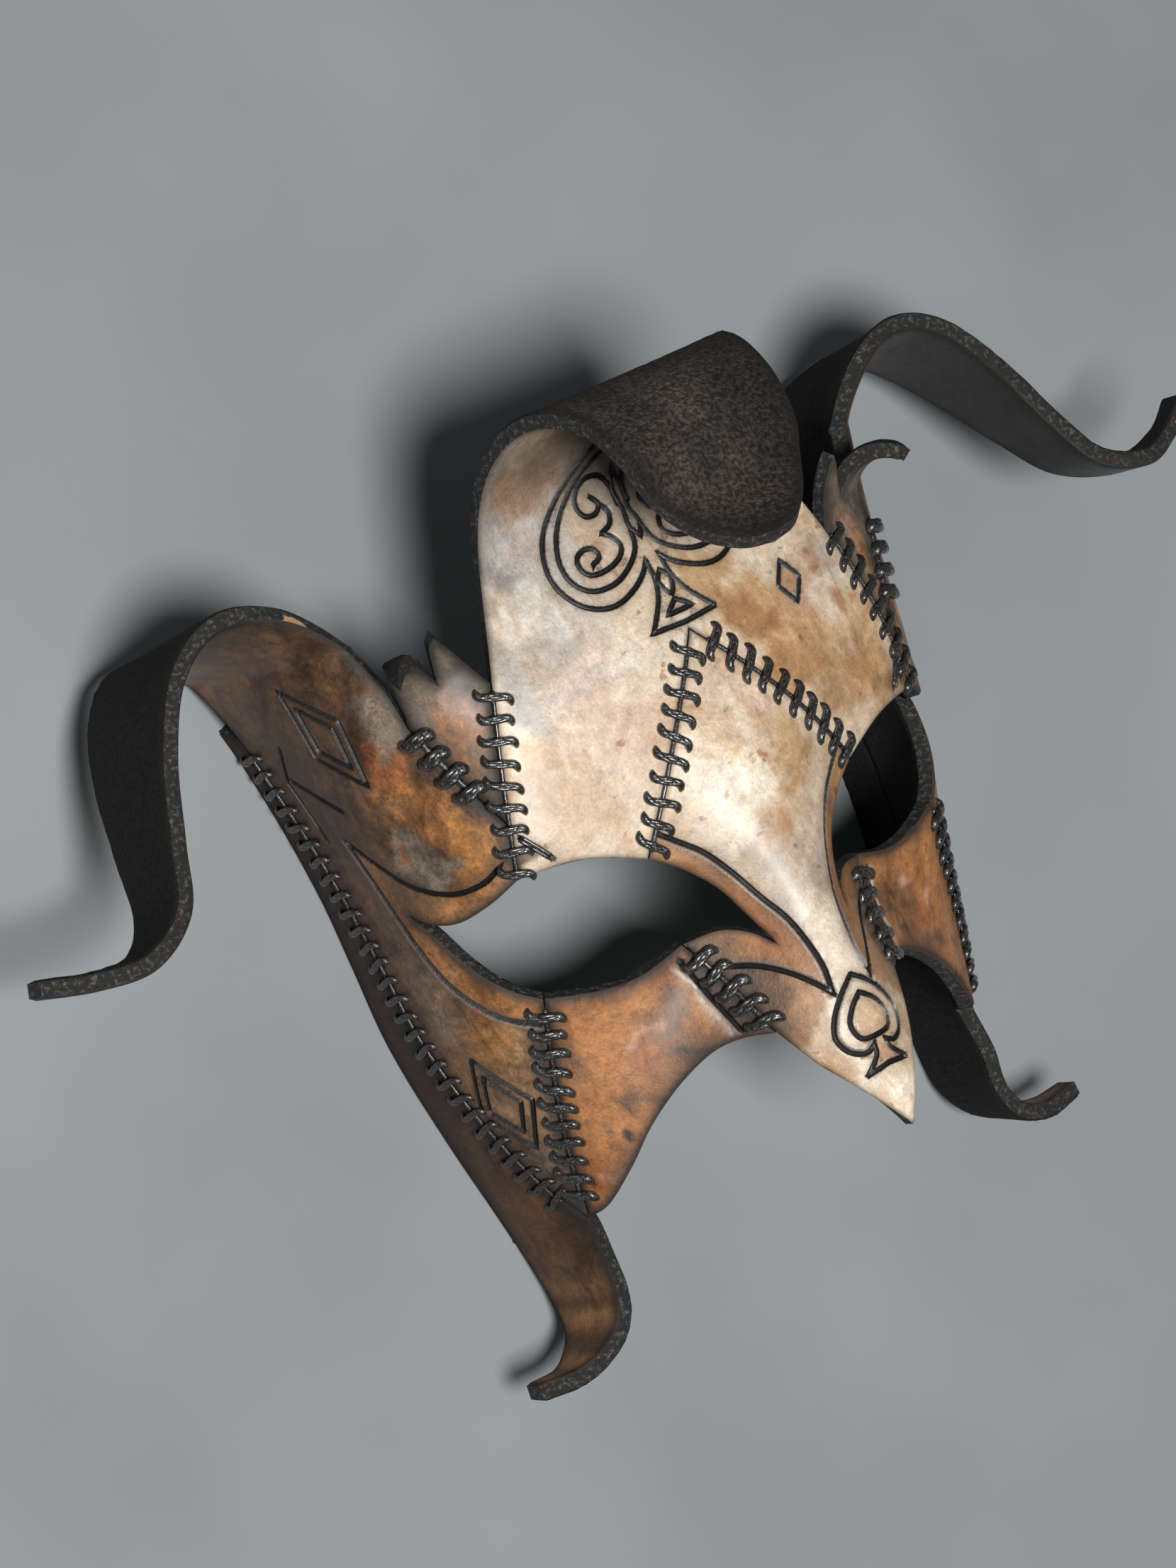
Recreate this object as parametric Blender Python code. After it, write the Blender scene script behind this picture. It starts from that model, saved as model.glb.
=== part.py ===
"""Jester half mask of tooled leather panels, laced edge to edge, lying face up.

Sizes are in millimetres and the meshes are written in metres.
X runs across the face, Y from chin to forehead, Z out of the face.
A place on the leather is given as (across, up): across is a percentage of the way
round from the middle of the face (0) to the rim that rests on the table (100),
negative on the left, and up is in 125ths of the face length from eye level.
"""
import math

import bmesh
import bpy
import numpy as np
from mathutils.geometry import delaunay_2d_cdt

# Driving dimensions
FACE_WIDTH = 125.0
FACE_LENGTH = 125.0
FACE_DEPTH = 56.5
LEATHER_THICKNESS = 3.5
SEAM_GAP = 0.3
TONGUE_ROLL_RADIUS = 17.0
HORN_REACH = 137.0
TAIL_REACH = 68.0
GROOVE_WIDTH = 1.7
GROOVE_DEPTH = 0.8
STITCH_PITCH = 4.0
STITCH_SPAN = 6.0
NARROW_STITCH_PITCH = 5.0
NARROW_STITCH_SPAN = 4.6
THREAD_WIDTH = 1.0
THREAD_CLEARANCE = 0.3
EDGE_STEP = 5.5
GROOVE_STEP = 5.0
FILL_STEP = 9.5
NO_FILL = 1000.0
BACK_FILL = 1.2
GROOVE_CLEARANCE = 0.55
EDGE_CLEARANCE = 0.5
HEXAGON_ROWS = 0.866
RIM_TRIM = 0.4
NORMAL_STEP = 0.4
STITCH_SLANT = 0.28

MM = 0.001
WIDE = FACE_WIDTH / 125.0
LONG = FACE_LENGTH / 125.0
DEEP = FACE_DEPTH / 56.5
TONGUE_ROOT = 62.0 * LONG
ROLL_START = 1.5 * LONG
ROLL_ANGLE = math.pi
TIP_FLICK = 0.03
FLATTEN_LENGTH = 20.0
FLOOR = -56.0 * DEEP

# Form of the face, from below the nose to the top of the forehead:
# up, half width, crown, squareness of the section, ridge height, ridge half width
STATIONS = np.array([
    (-90.0, 47.0, -14.0, 3.0, 25.0, 22.0),
    (-62.0, 51.5, -12.5, 3.0, 24.5, 22.0),
    (-38.0, 56.5, -10.0, 3.0, 21.5, 21.0),
    (-18.0, 59.8, -5.5, 3.1, 15.0, 14.0),
    (0.0, 60.5, 0.5, 3.5, 8.5, 16.0),
    (15.0, 61.0, 2.5, 3.7, 5.5, 20.0),
    (43.0, 65.0, 1.5, 3.8, 2.5, 26.0),
    (62.0, 70.0, -1.5, 4.0, 1.5, 30.0),
])

# Seams and edges of the left half, each a smooth line through its points
SEAM_NOSE_TOP = [(0, 36.6), (12.5, 19), (24.9, 1.2)]
SEAM_TEMPLE = [(37, 42.3), (41.5, 29), (45, 17.1)]
SEAM_TEMPLE_LOW = [(45, 17.1), (47.7, 7.4)]
SEAM_GUSSET = [(53.2, 40.5), (49.6, 29), (45, 17.1)]
SEAM_CHEEK = [(53.9, -15.2), (58, -25), (63.2, -37), (67, -47), (70.7, -58.5)]
SEAM_NOSE_LOW = [(26.2, -16.3), (22, -26.5), (18.2, -37.6)]
SEAM_JAW = [(94.8, 48.5), (92.7, 28), (90.5, 11), (87.5, -6), (85, -22), (81.5, -37), (76.6, -50),
            (70.7, -58.5)]
EYE_TOP = [(24.9, 1.2), (33.5, 5.4), (40.3, 7.0), (47.7, 7.4)]
EYE_OUTER_TOP = [(47.7, 7.4), (54, 5.0), (61.5, 3.6), (68, 4.8), (72.5, 7.5)]
EYE_OUTER_LOW = [(72.5, 7.5), (68.5, 3.0), (65.2, -2.4), (61.5, -8), (57.8, -12.2), (53.9, -15.2)]
EYE_LOW = [(53.9, -15.2), (43.4, -17.9), (35.5, -18.4), (26.2, -16.3)]
EYE_INNER_LOW = [(26.2, -16.3), (19, -16.4), (13.8, -18.8), (10.6, -22)]
EYE_INNER = [(10.6, -22), (13.3, -15.3), (15.9, -9), (20.3, -3), (24.9, 1.2)]
TONGUE_EDGE = [(37, 42.3), (32.5, 54), (28.2, 65), (24.3, 78), (20.9, 90), (18.2, 101), (16.9, 109),
               (15.2, 118), (11, 127.2), (5.8, 132), (0, 133.4)]
CHEEK_EDGE = [(18.2, -37.6), (24.4, -36.5), (30.4, -36.8), (36.7, -39), (42.7, -42), (49, -46), (56, -51.5),
              (64.5, -57), (70.7, -58.5)]
NOSE_EDGE = [(18.2, -37.6), (16, -41.5), (13.4, -45.8), (9.1, -51.2), (4.3, -57.3), (0, -63)]
GUSSET_POINTS = [(37, 42.3), (40.4, 50), (42.6, 54.5), (44, 52.5), (45.2, 46.5), (47, 52), (49.8, 59.5),
                 (51.2, 54), (52.3, 47), (53.2, 40.5)]
HORN_NEAR_EDGE = [(53.2, 40.5), (53.6, 49), (55.5, 57.5)]
HORN_ROOT = [(55.5, 57.5), (69, 58.5), (84, 59.7), (98, 60.8)]
HORN_FAR_EDGE = [(98, 60.8), (95.6, 54), (94.8, 48.5)]
TAIL_ROOT = [(70.7, -58.5), (80.5, -59.5), (90, -60.5), (100, -61.5)]
JAW_END = [(100, 51), (94.8, 48.5)]

# Tooled lines: name of the panel's own list, then the lines
SPADE_LOBE = [(0.5, 76), (8.5, 71), (14.5, 65.5), (18.3, 60), (19.2, 54.6), (17.6, 49.6), (14.4, 46.4),
              (9.9, 45.2), (5.4, 46.8), (1.2, 51)]
SPADE_LOBE_INNER = [(2.2, 71), (8.5, 67), (13, 62.5), (15.8, 58), (16.3, 54), (14.6, 50.4), (10.5, 48.6),
                    (6.8, 50.2), (4.6, 53)]
SPADE_SCROLL = [(3.2, 62), (7.2, 66), (10.6, 63.6), (9.6, 60.4), (6.9, 61.2)]
SPADE_CURL = [(3.4, 57.5), (7.5, 58.6), (11.2, 55.5), (10, 51.9), (7.2, 53)]
SPADE_STEM = [(0.6, 51), (1.8, 45.5), (6.6, 38.4), (0, 38)]
LEAF = [(21.5, 4.6), (13.9, -4), (9.8, -10.9), (6.4, -18.7), (4.9, -25.8), (5.1, -34.1)]
LEAF_BACK = [(5.1, -34.1), (8, -30), (11.5, -27.4), (16.7, -25), (21.0, -23.2)]
NOSE_SPADE = [(0, -32.5), (4.2, -36), (6.7, -40), (6.4, -44.3), (3.8, -46.8), (1.2, -45.6)]
NOSE_SPADE_INNER = [(0, -36), (2.8, -38.4), (4.2, -41), (3.6, -43.4), (0, -43.2)]
NOSE_SPADE_STEM = [(1.2, -45.6), (1.8, -48), (4.9, -51), (0, -50.4)]
BROW_LINE = [(79.6, 24.1), (74, 18.3), (68.1, 12.9), (60.4, 9.4), (54, 9.2), (49.6, 11)]
LOWER_LINE = [(79.6, 24.1), (77.8, 16.4), (74.9, 5.7), (71.4, -4), (67.2, -11), (62.5, -16.2), (56.8, -19.6)]
DIAMOND_TOP = [(72.6, 55), (64.2, 46.3), (65.8, 33), (74.2, 40.8)]
DIAMOND_LOW = [(74.7, -22), (66.7, -32.7), (72.2, -42.1), (80.5, -33.4)]
HALF_DIAMOND = [(83.3, 44), (87.3, 37.7), (85.6, 25.9)]
HALF_DIAMOND_BAR = [(85.8, 38), (75.9, 30)]
GUSSET_LINE = [(44.2, 14.6), (40.8, 9.4)]
TAB_LINE = [(28.0, -19.6), (26.2, -28), (24.2, -34.6)]
PIP_CENTRE = (24.3, 36.5)
PIP_HALF = (3.0, 4.2)

# Horn and tail straps: points of the upper and lower edge beyond the root, at the nominal reach
HORN_UPPER = [(68, 67.5, -10), (79.5, 71.3, -11), (90, 66, -11), (98, 54, -10), (104, 40, -8),
              (109, 29.8, -5.5), (118.5, 25, -4), (128, 26.2, -7), (137, 29.5, -10)]
HORN_LOWER = [(82, 66.5, -47), (89.5, 66.5, -45), (96, 60, -42), (101, 51, -37),
              (105.5, 40, -30), (110, 30, -22.5), (118.5, 25, -14), (128, 26.2, -12.5), (137, 29.5, -16)]
TAIL_UPPER = [(48, -67.5, -29), (47.3, -74.5, -30), (49.3, -79.8, -31), (53.3, -83.3, -32.5),
              (59.5, -85.2, -34), (68, -84.5, -36)]
TAIL_LOWER = [(50, -68.5, -54.5), (49.2, -75, -52.5), (50.8, -79.8, -49.5), (54.8, -83, -46),
              (60.5, -85, -42.5), (68, -84.5, -40.8)]
HORN_LEFT_TIP_DROP = 3.0
HORN_RIGHT_TIP_LIFT = 5.0

# The gusset's two points bend off the form, the outer one into a claw
CURL_START = 44.0
INNER_POINT_RADIUS = 14.0
OUTER_POINT_RADIUS = 6.0
POINTS_PART_AT = 44.6
POINTS_PART_OVER = 1.6
STRAP_ROWS_PER_POINT = 2
SAG_POINTS = 2.5
SETTLE_POINTS = 2.0

# Laces: seam line, stitch pitch and span, and the bare length at each end
LACES = {
    "nose_top": (SEAM_NOSE_TOP, STITCH_PITCH, STITCH_SPAN, 5.5, 0.5),
    "temple": (SEAM_TEMPLE + SEAM_TEMPLE_LOW[1:], STITCH_PITCH, STITCH_SPAN, 0.5, 0.5),
    "gusset": (SEAM_GUSSET, STITCH_PITCH, NARROW_STITCH_SPAN, 0.5, 8.5),
    "cheek": (SEAM_CHEEK, STITCH_PITCH, STITCH_SPAN, 0.5, 5.0),
    "jaw": (SEAM_JAW, NARROW_STITCH_PITCH, NARROW_STITCH_SPAN, 3.0, 6.5),
    "nose_low": (SEAM_NOSE_LOW, STITCH_PITCH, STITCH_SPAN, 0.5, 0.5),
}

# Colours and finish of each leather
FINISHES = {
    "bleached": (0.58, 0.44, 0.28, 0.55),
    "brown": (0.22, 0.11, 0.05, 0.5),
    "copper": (0.38, 0.16, 0.06, 0.5),
    "grey_brown": (0.20, 0.14, 0.11, 0.6),
    "dark": (0.10, 0.05, 0.03, 0.5),
    "thread": (0.015, 0.014, 0.013, 0.35),
}


def smooth_step(x, knots, values):
    """Cubic curve through (knots, values), read at x."""
    x = min(max(x, knots[0]), knots[-1])
    i = min(max(int(np.searchsorted(knots, x)) - 1, 0), len(knots) - 2)
    slopes = np.diff(values) / np.diff(knots)
    ends = np.concatenate([slopes[:1], (slopes[1:] + slopes[:-1]) / 2, slopes[-1:]])
    h = knots[i + 1] - knots[i]
    t = (x - knots[i]) / h
    start = (2 * t**3 - 3 * t**2 + 1) * values[i] + (t**3 - 2 * t**2 + t) * h * ends[i]
    finish = (3 * t**2 - 2 * t**3) * values[i + 1] + (t**3 - t**2) * h * ends[i + 1]
    return start + finish


SECTION_CACHE = {}


def section(up):
    """Half section of the face at a height: distance round it, x and z."""
    key = round(up, 3)
    if key not in SECTION_CACHE:
        width, crown, square, ridge, ridge_width = (
            smooth_step(key / LONG, STATIONS[:, 0], STATIONS[:, k]) for k in range(1, 6))
        share = np.sin(np.linspace(0, math.pi / 2, 181))
        x = width * WIDE * share
        fall = 1 - np.power(np.clip(1 - share**square, 0, 1), 1 / square)
        crown *= DEEP
        z = crown - (crown - FLOOR) * fall + ridge * DEEP * np.exp(-(x / (ridge_width * WIDE))**2)
        round_length = np.concatenate([[0], np.cumsum(np.hypot(np.diff(x), np.diff(z)))])
        SECTION_CACHE[key] = (round_length, x, z)
    return SECTION_CACHE[key]


def flat_place(across, up):
    """(percent across, up) to millimetres measured on the leather."""
    up_mm = up * LONG
    return across / 100 * section(min(up_mm, TONGUE_ROOT))[0][-1], up_mm


def roll_frame(up):
    """Middle line of the tongue past its root: y, z and the outward direction."""
    along = up - TONGUE_ROOT
    bend = min(max(along - ROLL_START, 0), ROLL_ANGLE * TONGUE_ROLL_RADIUS)
    turn = bend / TONGUE_ROLL_RADIUS
    y = TONGUE_ROOT + min(along, ROLL_START) + TONGUE_ROLL_RADIUS * math.sin(turn)
    z = float(section(TONGUE_ROOT)[2][0]) + TONGUE_ROLL_RADIUS * (1 - math.cos(turn))
    rest = along - ROLL_START - bend
    if rest > 0:
        y += rest * math.cos(turn)
        z += rest * math.sin(turn) + TIP_FLICK * rest**2
        turn -= math.atan(2 * TIP_FLICK * rest)
    return y, z, -math.sin(turn), math.cos(turn)


def form(u, v):
    """Point of the grain side of the leather at (u, v) millimetres."""
    lengths, xs, zs = section(min(v, TONGUE_ROOT))
    reach = abs(u)
    x = math.copysign(float(np.interp(reach, lengths, xs)), u)
    z = float(np.interp(reach, lengths, zs)) - max(0.0, reach - lengths[-1])
    if v <= TONGUE_ROOT:
        return np.array((x, v, z))
    y, crest, out_y, out_z = roll_frame(v)
    fall = (z - float(zs[0])) * math.exp(-(v - TONGUE_ROOT) / (FLATTEN_LENGTH * LONG))
    return np.array((x, y + fall * out_y, crest + fall * out_z))


def form_normal(u, v):
    """Outward direction of the leather at (u, v)."""
    side = form(u + NORMAL_STEP, v) - form(u - NORMAL_STEP, v)
    rise = form(u, v + NORMAL_STEP) - form(u, v - NORMAL_STEP)
    normal = np.cross(side, rise)
    return normal / np.linalg.norm(normal)


def spline(points, step):
    """Smooth line through points, cut into pieces of about one step."""
    pts = [np.array(p, float) for p in points]
    ends = [2 * pts[0] - pts[1]] + pts + [2 * pts[-1] - pts[-2]]
    line = []
    for a, b, c, d in zip(ends, ends[1:], ends[2:], ends[3:]):
        count = max(1, round(float(np.linalg.norm(c - b)) / step))
        for k in range(count):
            t = k / count
            line.append(0.5 * ((2 * b) + (c - a) * t + (2 * a - 5 * b + 4 * c - d) * t**2
                               + (3 * b - a - 3 * c + d) * t**3))
    return line + [pts[-1]]


def edge(points, side=1, step=EDGE_STEP, smooth=True):
    """An edge of a panel on the flat leather, in millimetres."""
    flat = [flat_place(side * a, b) for a, b in points]
    if smooth:
        return spline(flat, step)
    line = []
    for a, b in zip(flat, flat[1:]):
        line += spline([a, b], step)[:-1]
    return line + [np.array(flat[-1])]


def chain(*edges):
    """Join edges head to tail into one closed outline without doubled points."""
    outline = []
    for points in edges:
        if outline and np.linalg.norm(outline[-1] - points[0]) > np.linalg.norm(outline[-1] - points[-1]):
            points = points[::-1]
        outline += list(points[1:] if outline else points)
    return outline[:-1]


def is_left_turning(outline):
    area = sum(p[0] * q[1] - q[0] * p[1] for p, q in zip(outline, outline[1:] + outline[:1]))
    return area > 0


def shrink(outline, margin):
    """Move a closed outline inwards by a margin, with the leather on its left."""
    result = []
    count = len(outline)
    for i, point in enumerate(outline):
        before = point - outline[i - 1]
        after = outline[(i + 1) % count] - point
        before /= np.linalg.norm(before)
        after /= np.linalg.norm(after)
        normal = np.array((-before[1] - after[1], before[0] + after[0]))
        length = np.linalg.norm(normal)
        normal /= length
        reach = margin / max(0.45, abs(float(normal @ (-before[1], before[0]))))
        result.append(point + normal * reach)
    return result


def offset_line(line, distance, closed=False):
    """A line beside a line, at a distance to its left."""
    result = []
    count = len(line)
    for i, point in enumerate(line):
        before = point - line[i - 1] if i or closed else line[1] - line[0]
        after = line[(i + 1) % count] - point if i < count - 1 or closed else point - line[i - 1]
        before = before / np.linalg.norm(before)
        after = after / np.linalg.norm(after)
        normal = np.array((-before[1] - after[1], before[0] + after[0]))
        normal /= max(np.linalg.norm(normal), 1e-6)
        reach = distance / max(0.5, abs(float(normal @ (-before[1], before[0]))))
        result.append(point + normal * reach)
    return result


def distance_to_line(point, line):
    """Shortest distance from a point to a polyline."""
    starts = np.array(line[:-1])
    runs = np.array(line[1:]) - starts
    t = np.clip(((point - starts) * runs).sum(1) / np.maximum((runs**2).sum(1), 1e-9), 0, 1)
    return float(np.linalg.norm(starts + runs * t[:, None] - point, axis=1).min())


def inside(point, outline):
    """Whether a point lies inside a closed outline."""
    hit = False
    for a, b in zip(outline, outline[1:] + outline[:1]):
        if (a[1] > point[1]) != (b[1] > point[1]):
            if point[0] < a[0] + (point[1] - a[1]) * (b[0] - a[0]) / (b[1] - a[1]):
                hit = not hit
    return hit


class Leather:
    """Collects the triangles of one closed piece."""

    def __init__(self):
        self.points = []
        self.index = {}
        self.faces = []

    def add(self, point):
        key = tuple(round(float(c), 5) for c in point)
        if key not in self.index:
            self.index[key] = len(self.points)
            self.points.append(key)
        return self.index[key]

    def face(self, corners):
        ids = [self.add(c) for c in corners]
        if len(set(ids)) == len(ids):
            self.faces.append(ids)


def groove_lines(grooves):
    """Centre and both shoulders of each tooled line."""
    lines = []
    for centre, closed in grooves:
        lines.append((centre, closed))
        for side in (1, -1):
            lines.append((offset_line(centre, side * GROOVE_WIDTH / 2, closed), closed))
    return lines


def cut_flat(outline, lines, centres, fill):
    """Triangles of the flat leather inside an outline, with its tooled lines and fill points."""
    coords = [tuple(map(float, p)) for p in outline]
    edges = [(i, (i + 1) % len(outline)) for i in range(len(outline))]
    for line, closed in lines:
        start = len(coords)
        coords += [tuple(map(float, p)) for p in line]
        edges += [(start + i, start + i + 1) for i in range(len(line) - 1)]
        if closed:
            edges.append((start + len(line) - 1, start))
    ring = outline + outline[:1]
    low = np.min(outline, axis=0)
    high = np.max(outline, axis=0)
    row = 0
    v = low[1] + fill / 2
    while v < high[1]:
        u = low[0] + (fill / 2 if row % 2 else 0)
        while u < high[0]:
            point = np.array((u, v))
            clear = all(distance_to_line(point, c) > fill * GROOVE_CLEARANCE for c in centres)
            if clear and inside(point, outline) and distance_to_line(point, ring) > fill * EDGE_CLEARANCE:
                coords.append((float(u), float(v)))
            u += fill
        v += fill * HEXAGON_ROWS
        row += 1
    result = delaunay_2d_cdt(coords, edges, [], 0, 1e-5, True)
    flat = [np.array(p) for p in result[0]]
    faces = [list(f) for f in result[2] if inside(sum(flat[i] for i in f) / 3, outline)]
    return flat, faces, result[3]


def panel(outline, grooves=(), fill=FILL_STEP, lift=None, open_run=None):
    """A leather panel lying on the form; open_run is a run of outline points where a strap grows on."""
    if not is_left_turning(outline):
        outline = outline[::-1]
    outline = shrink(outline, SEAM_GAP / 2)
    lines = groove_lines(grooves)
    centres = [line + line[:1] if closed else line for line, closed in grooves]
    flat, faces, origins = cut_flat(outline, lines, centres, fill)
    count = len(outline)
    outer, inner = [], []
    for k, (u, v) in enumerate(flat):
        base = form(u, v)
        normal = form_normal(u, v)
        if lift:
            base, normal = lift(u, v, base, normal)
        depth = 0.0
        on_edge = any(o < count for o in origins[k])
        if centres and not on_edge:
            near = min(distance_to_line(flat[k], c) for c in centres)
            depth = GROOVE_DEPTH * max(0.0, 1 - near / (GROOVE_WIDTH / 2 * 0.98))
        outer.append(base - normal * depth)
        inner.append(base - normal * LEATHER_THICKNESS)
    leather = Leather()
    used = {}
    for face in faces:
        leather.face([outer[i] for i in face])
        for a, b in zip(face, face[1:] + face[:1]):
            used[(a, b)] = True
    rim = [(a, b) for a, b in used if (b, a) not in used]
    coarse, coarse_faces, _ = cut_flat([flat[a] for a in ordered_loop(rim)], [], [], fill * BACK_FILL)
    for face in coarse_faces:
        back = []
        for i in face:
            base = form(*coarse[i])
            normal = form_normal(*coarse[i])
            if lift:
                base, normal = lift(coarse[i][0], coarse[i][1], base, normal)
            back.append(base - normal * LEATHER_THICKNESS)
        leather.face(back[::-1])
    skipped = set()
    if open_run is not None:
        run = [min(range(len(flat)), key=lambda k, p=p: float(np.linalg.norm(flat[k] - p)))
               for p in open_run]
        skipped = set(zip(run, run[1:])) | set(zip(run[1:], run))
        open_run = [(outer[k], inner[k]) for k in run]
    for a, b in rim:
        if (a, b) not in skipped:
            leather.face([outer[b], outer[a], inner[a], inner[b]])
    return leather, open_run


def ordered_loop(rim):
    """Order boundary edges head to tail."""
    follow = dict(rim)
    first = rim[0][0]
    loop = [first]
    while follow[loop[-1]] != first:
        loop.append(follow[loop[-1]])
    return loop


def strap(leather, root, upper, lower):
    """Grow a strap from a root run of (outer, inner) points along its upper and lower edges."""
    outer_root = np.array([p[0] for p in root])
    inner_root = np.array([p[1] for p in root])
    rows = STRAP_ROWS_PER_POINT
    tops = fine_rows([outer_root[0]] + [np.array(p, float) for p in upper], rows)
    lows = fine_rows([outer_root[-1]] + [np.array(p, float) for p in lower], rows)
    shares = np.linspace(0, 1, len(root))
    sag = outer_root - (outer_root[0] + shares[:, None] * (outer_root[-1] - outer_root[0]))
    grid = [outer_root]
    for k in range(1, len(tops)):
        fade = max(0.0, 1 - k / (SAG_POINTS * rows))**2
        line = tops[k] + shares[:, None] * (lows[k] - tops[k])
        grid.append(line + sag * fade)
    grid = np.array(grid)
    along = np.gradient(grid, axis=0)
    width = np.gradient(grid, axis=1)
    normal = np.cross(along, width)
    normal /= np.linalg.norm(normal, axis=2, keepdims=True)
    root_normal = outer_root - inner_root
    if float((normal[1] * root_normal).sum()) < 0:
        normal = -normal
    settle_in = np.minimum(np.arange(len(grid)) / (SETTLE_POINTS * rows), 1)[:, None, None]
    grid = grid + normal * (LEATHER_THICKNESS / 2) * settle_in
    back = grid - normal * LEATHER_THICKNESS
    back[0] = inner_root
    last = len(grid) - 1
    for i in range(last):
        for j in range(len(root) - 1):
            leather.face([grid[i, j], grid[i, j + 1], grid[i + 1, j + 1]])
            leather.face([grid[i, j], grid[i + 1, j + 1], grid[i + 1, j]])
            leather.face([back[i, j], back[i + 1, j], back[i + 1, j + 1]])
            leather.face([back[i, j], back[i + 1, j + 1], back[i, j + 1]])
        for j in (0, len(root) - 1):
            leather.face([grid[i, j], grid[i + 1, j], back[i + 1, j], back[i, j]])
    for j in range(len(root) - 1):
        leather.face([grid[last, j], grid[last, j + 1], back[last, j + 1], back[last, j]])


def fine_rows(line, rows):
    """Points between the given ones on a smooth line, a fixed number for each."""
    ends = [2 * line[0] - line[1]] + list(line) + [2 * line[-1] - line[-2]]
    fine = []
    for a, b, c, d in zip(ends, ends[1:], ends[2:], ends[3:]):
        for k in range(rows):
            t = k / rows
            fine.append(0.5 * ((2 * b) + (c - a) * t + (2 * a - 5 * b + 4 * c - d) * t**2
                               + (3 * b - a - 3 * c + d) * t**3))
    return fine + [np.array(line[-1])]


def groove(points, side=1, closed=False, smooth=True):
    """A tooled line on the flat leather."""
    ring = points + points[:1] if closed else points
    line = edge(ring, side, GROOVE_STEP, smooth)
    return (line[:-1] if closed else line), closed


def diamond(points, side, inset=0.0):
    """A tooled diamond, or a smaller one inside it."""
    line, closed = groove(points, side, True, False)
    if inset:
        centre = np.mean(line, axis=0)
        line = [centre + (p - centre) * (1 - inset) for p in line]
    return line, closed


def both_sides(points):
    """A tooled figure from the left tip through the middle to the right tip."""
    return [(-a, b) for a, b in points[::-1]] + [p for p in points if p[0] > 0]


def build(name, leather, finish):
    """Make the object of one closed piece."""
    mesh = bpy.data.meshes.new(name)
    mesh.from_pydata([tuple(c * MM for c in p) for p in leather.points], [], leather.faces)
    shape = bmesh.new()
    shape.from_mesh(mesh)
    bmesh.ops.triangulate(shape, faces=shape.faces[:])
    bmesh.ops.recalc_face_normals(shape, faces=shape.faces[:])
    if shape.calc_volume(signed=True) < 0:
        bmesh.ops.reverse_faces(shape, faces=shape.faces[:])
    shape.to_mesh(mesh)
    shape.free()
    mesh.shade_smooth()
    mesh.set_sharp_from_angle(angle=math.radians(35))
    mesh.materials.append(finish)
    piece = bpy.data.objects.new(name, mesh)
    bpy.context.collection.objects.link(piece)
    return piece


def finish_material(name):
    """Plain leather or thread finish."""
    red, green, blue, rough = FINISHES[name]
    material = bpy.data.materials.new(name)
    material.use_nodes = True
    shader = material.node_tree.nodes["Principled BSDF"]
    shader.inputs["Base Color"].default_value = (red, green, blue, 1)
    shader.inputs["Roughness"].default_value = rough
    return material


def forehead():
    """Forehead panel, whose tall point rolls forward over the brow."""
    left = [edge(c, -1) for c in (SEAM_NOSE_TOP, EYE_TOP, SEAM_TEMPLE_LOW, SEAM_TEMPLE, TONGUE_EDGE)]
    right = [edge(c, 1) for c in (TONGUE_EDGE, SEAM_TEMPLE, SEAM_TEMPLE_LOW, EYE_TOP, SEAM_NOSE_TOP)]
    outline = chain(*left, *right)
    grooves = []
    for side in (-1, 1):
        grooves.append(groove(SPADE_LOBE, side))
        grooves.append(groove(SPADE_LOBE_INNER, side))
        grooves.append(groove(SPADE_SCROLL, side))
        grooves.append(groove(SPADE_CURL, side))
        grooves.append(groove(SPADE_STEM[:3], side))
        grooves.append(groove(GUSSET_LINE, side))
    grooves.append(groove(both_sides(SPADE_STEM[2:]), 1, False, False))
    a, b = PIP_CENTRE
    wide, tall = PIP_HALF
    grooves.append(groove([(a + wide, b), (a, b + tall), (a - wide, b), (a, b - tall)], 1, True, False))
    return panel(outline, grooves)[0]


def nose():
    """Nose panel from the point between the brows to the beak."""
    left = [edge(c, -1) for c in (SEAM_NOSE_TOP, EYE_INNER, EYE_INNER_LOW, SEAM_NOSE_LOW, NOSE_EDGE)]
    right = [edge(c, 1) for c in (NOSE_EDGE, SEAM_NOSE_LOW, EYE_INNER_LOW, EYE_INNER, SEAM_NOSE_TOP)]
    grooves = []
    for side in (-1, 1):
        grooves.append(groove(LEAF, side))
        grooves.append(groove(LEAF_BACK, side))
    grooves.append(groove(both_sides(NOSE_SPADE), 1))
    grooves.append(groove(both_sides(NOSE_SPADE_INNER)[:-1], 1, True))
    grooves.append(groove(both_sides(NOSE_SPADE_STEM), 1, False, False))
    return panel(chain(*left, *right), grooves)[0]


def gusset_lift(u, v, base, normal):
    """The two points of the gusset curl off the form."""
    along = max(0.0, v - CURL_START * LONG)
    across = 100 * abs(u) / section(min(v, TONGUE_ROOT))[0][-1]
    outer = min(max((across - POINTS_PART_AT) / POINTS_PART_OVER, 0), 1)
    radius = INNER_POINT_RADIUS + (OUTER_POINT_RADIUS - INNER_POINT_RADIUS) * outer
    angle = along / radius
    up = np.array((0, 1, 0))
    raised = base + up * (radius * math.sin(angle) - along) + normal * radius * (1 - math.cos(angle))
    return raised, normal * math.cos(angle) - up * math.sin(angle)


def gusset(side):
    """Small two-pointed panel between forehead and temple."""
    points = edge(GUSSET_POINTS, side, EDGE_STEP, False)
    outline = chain(edge(SEAM_TEMPLE, side), edge(SEAM_GUSSET, side), points)
    return panel(outline, (), FILL_STEP, gusset_lift)[0]


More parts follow.
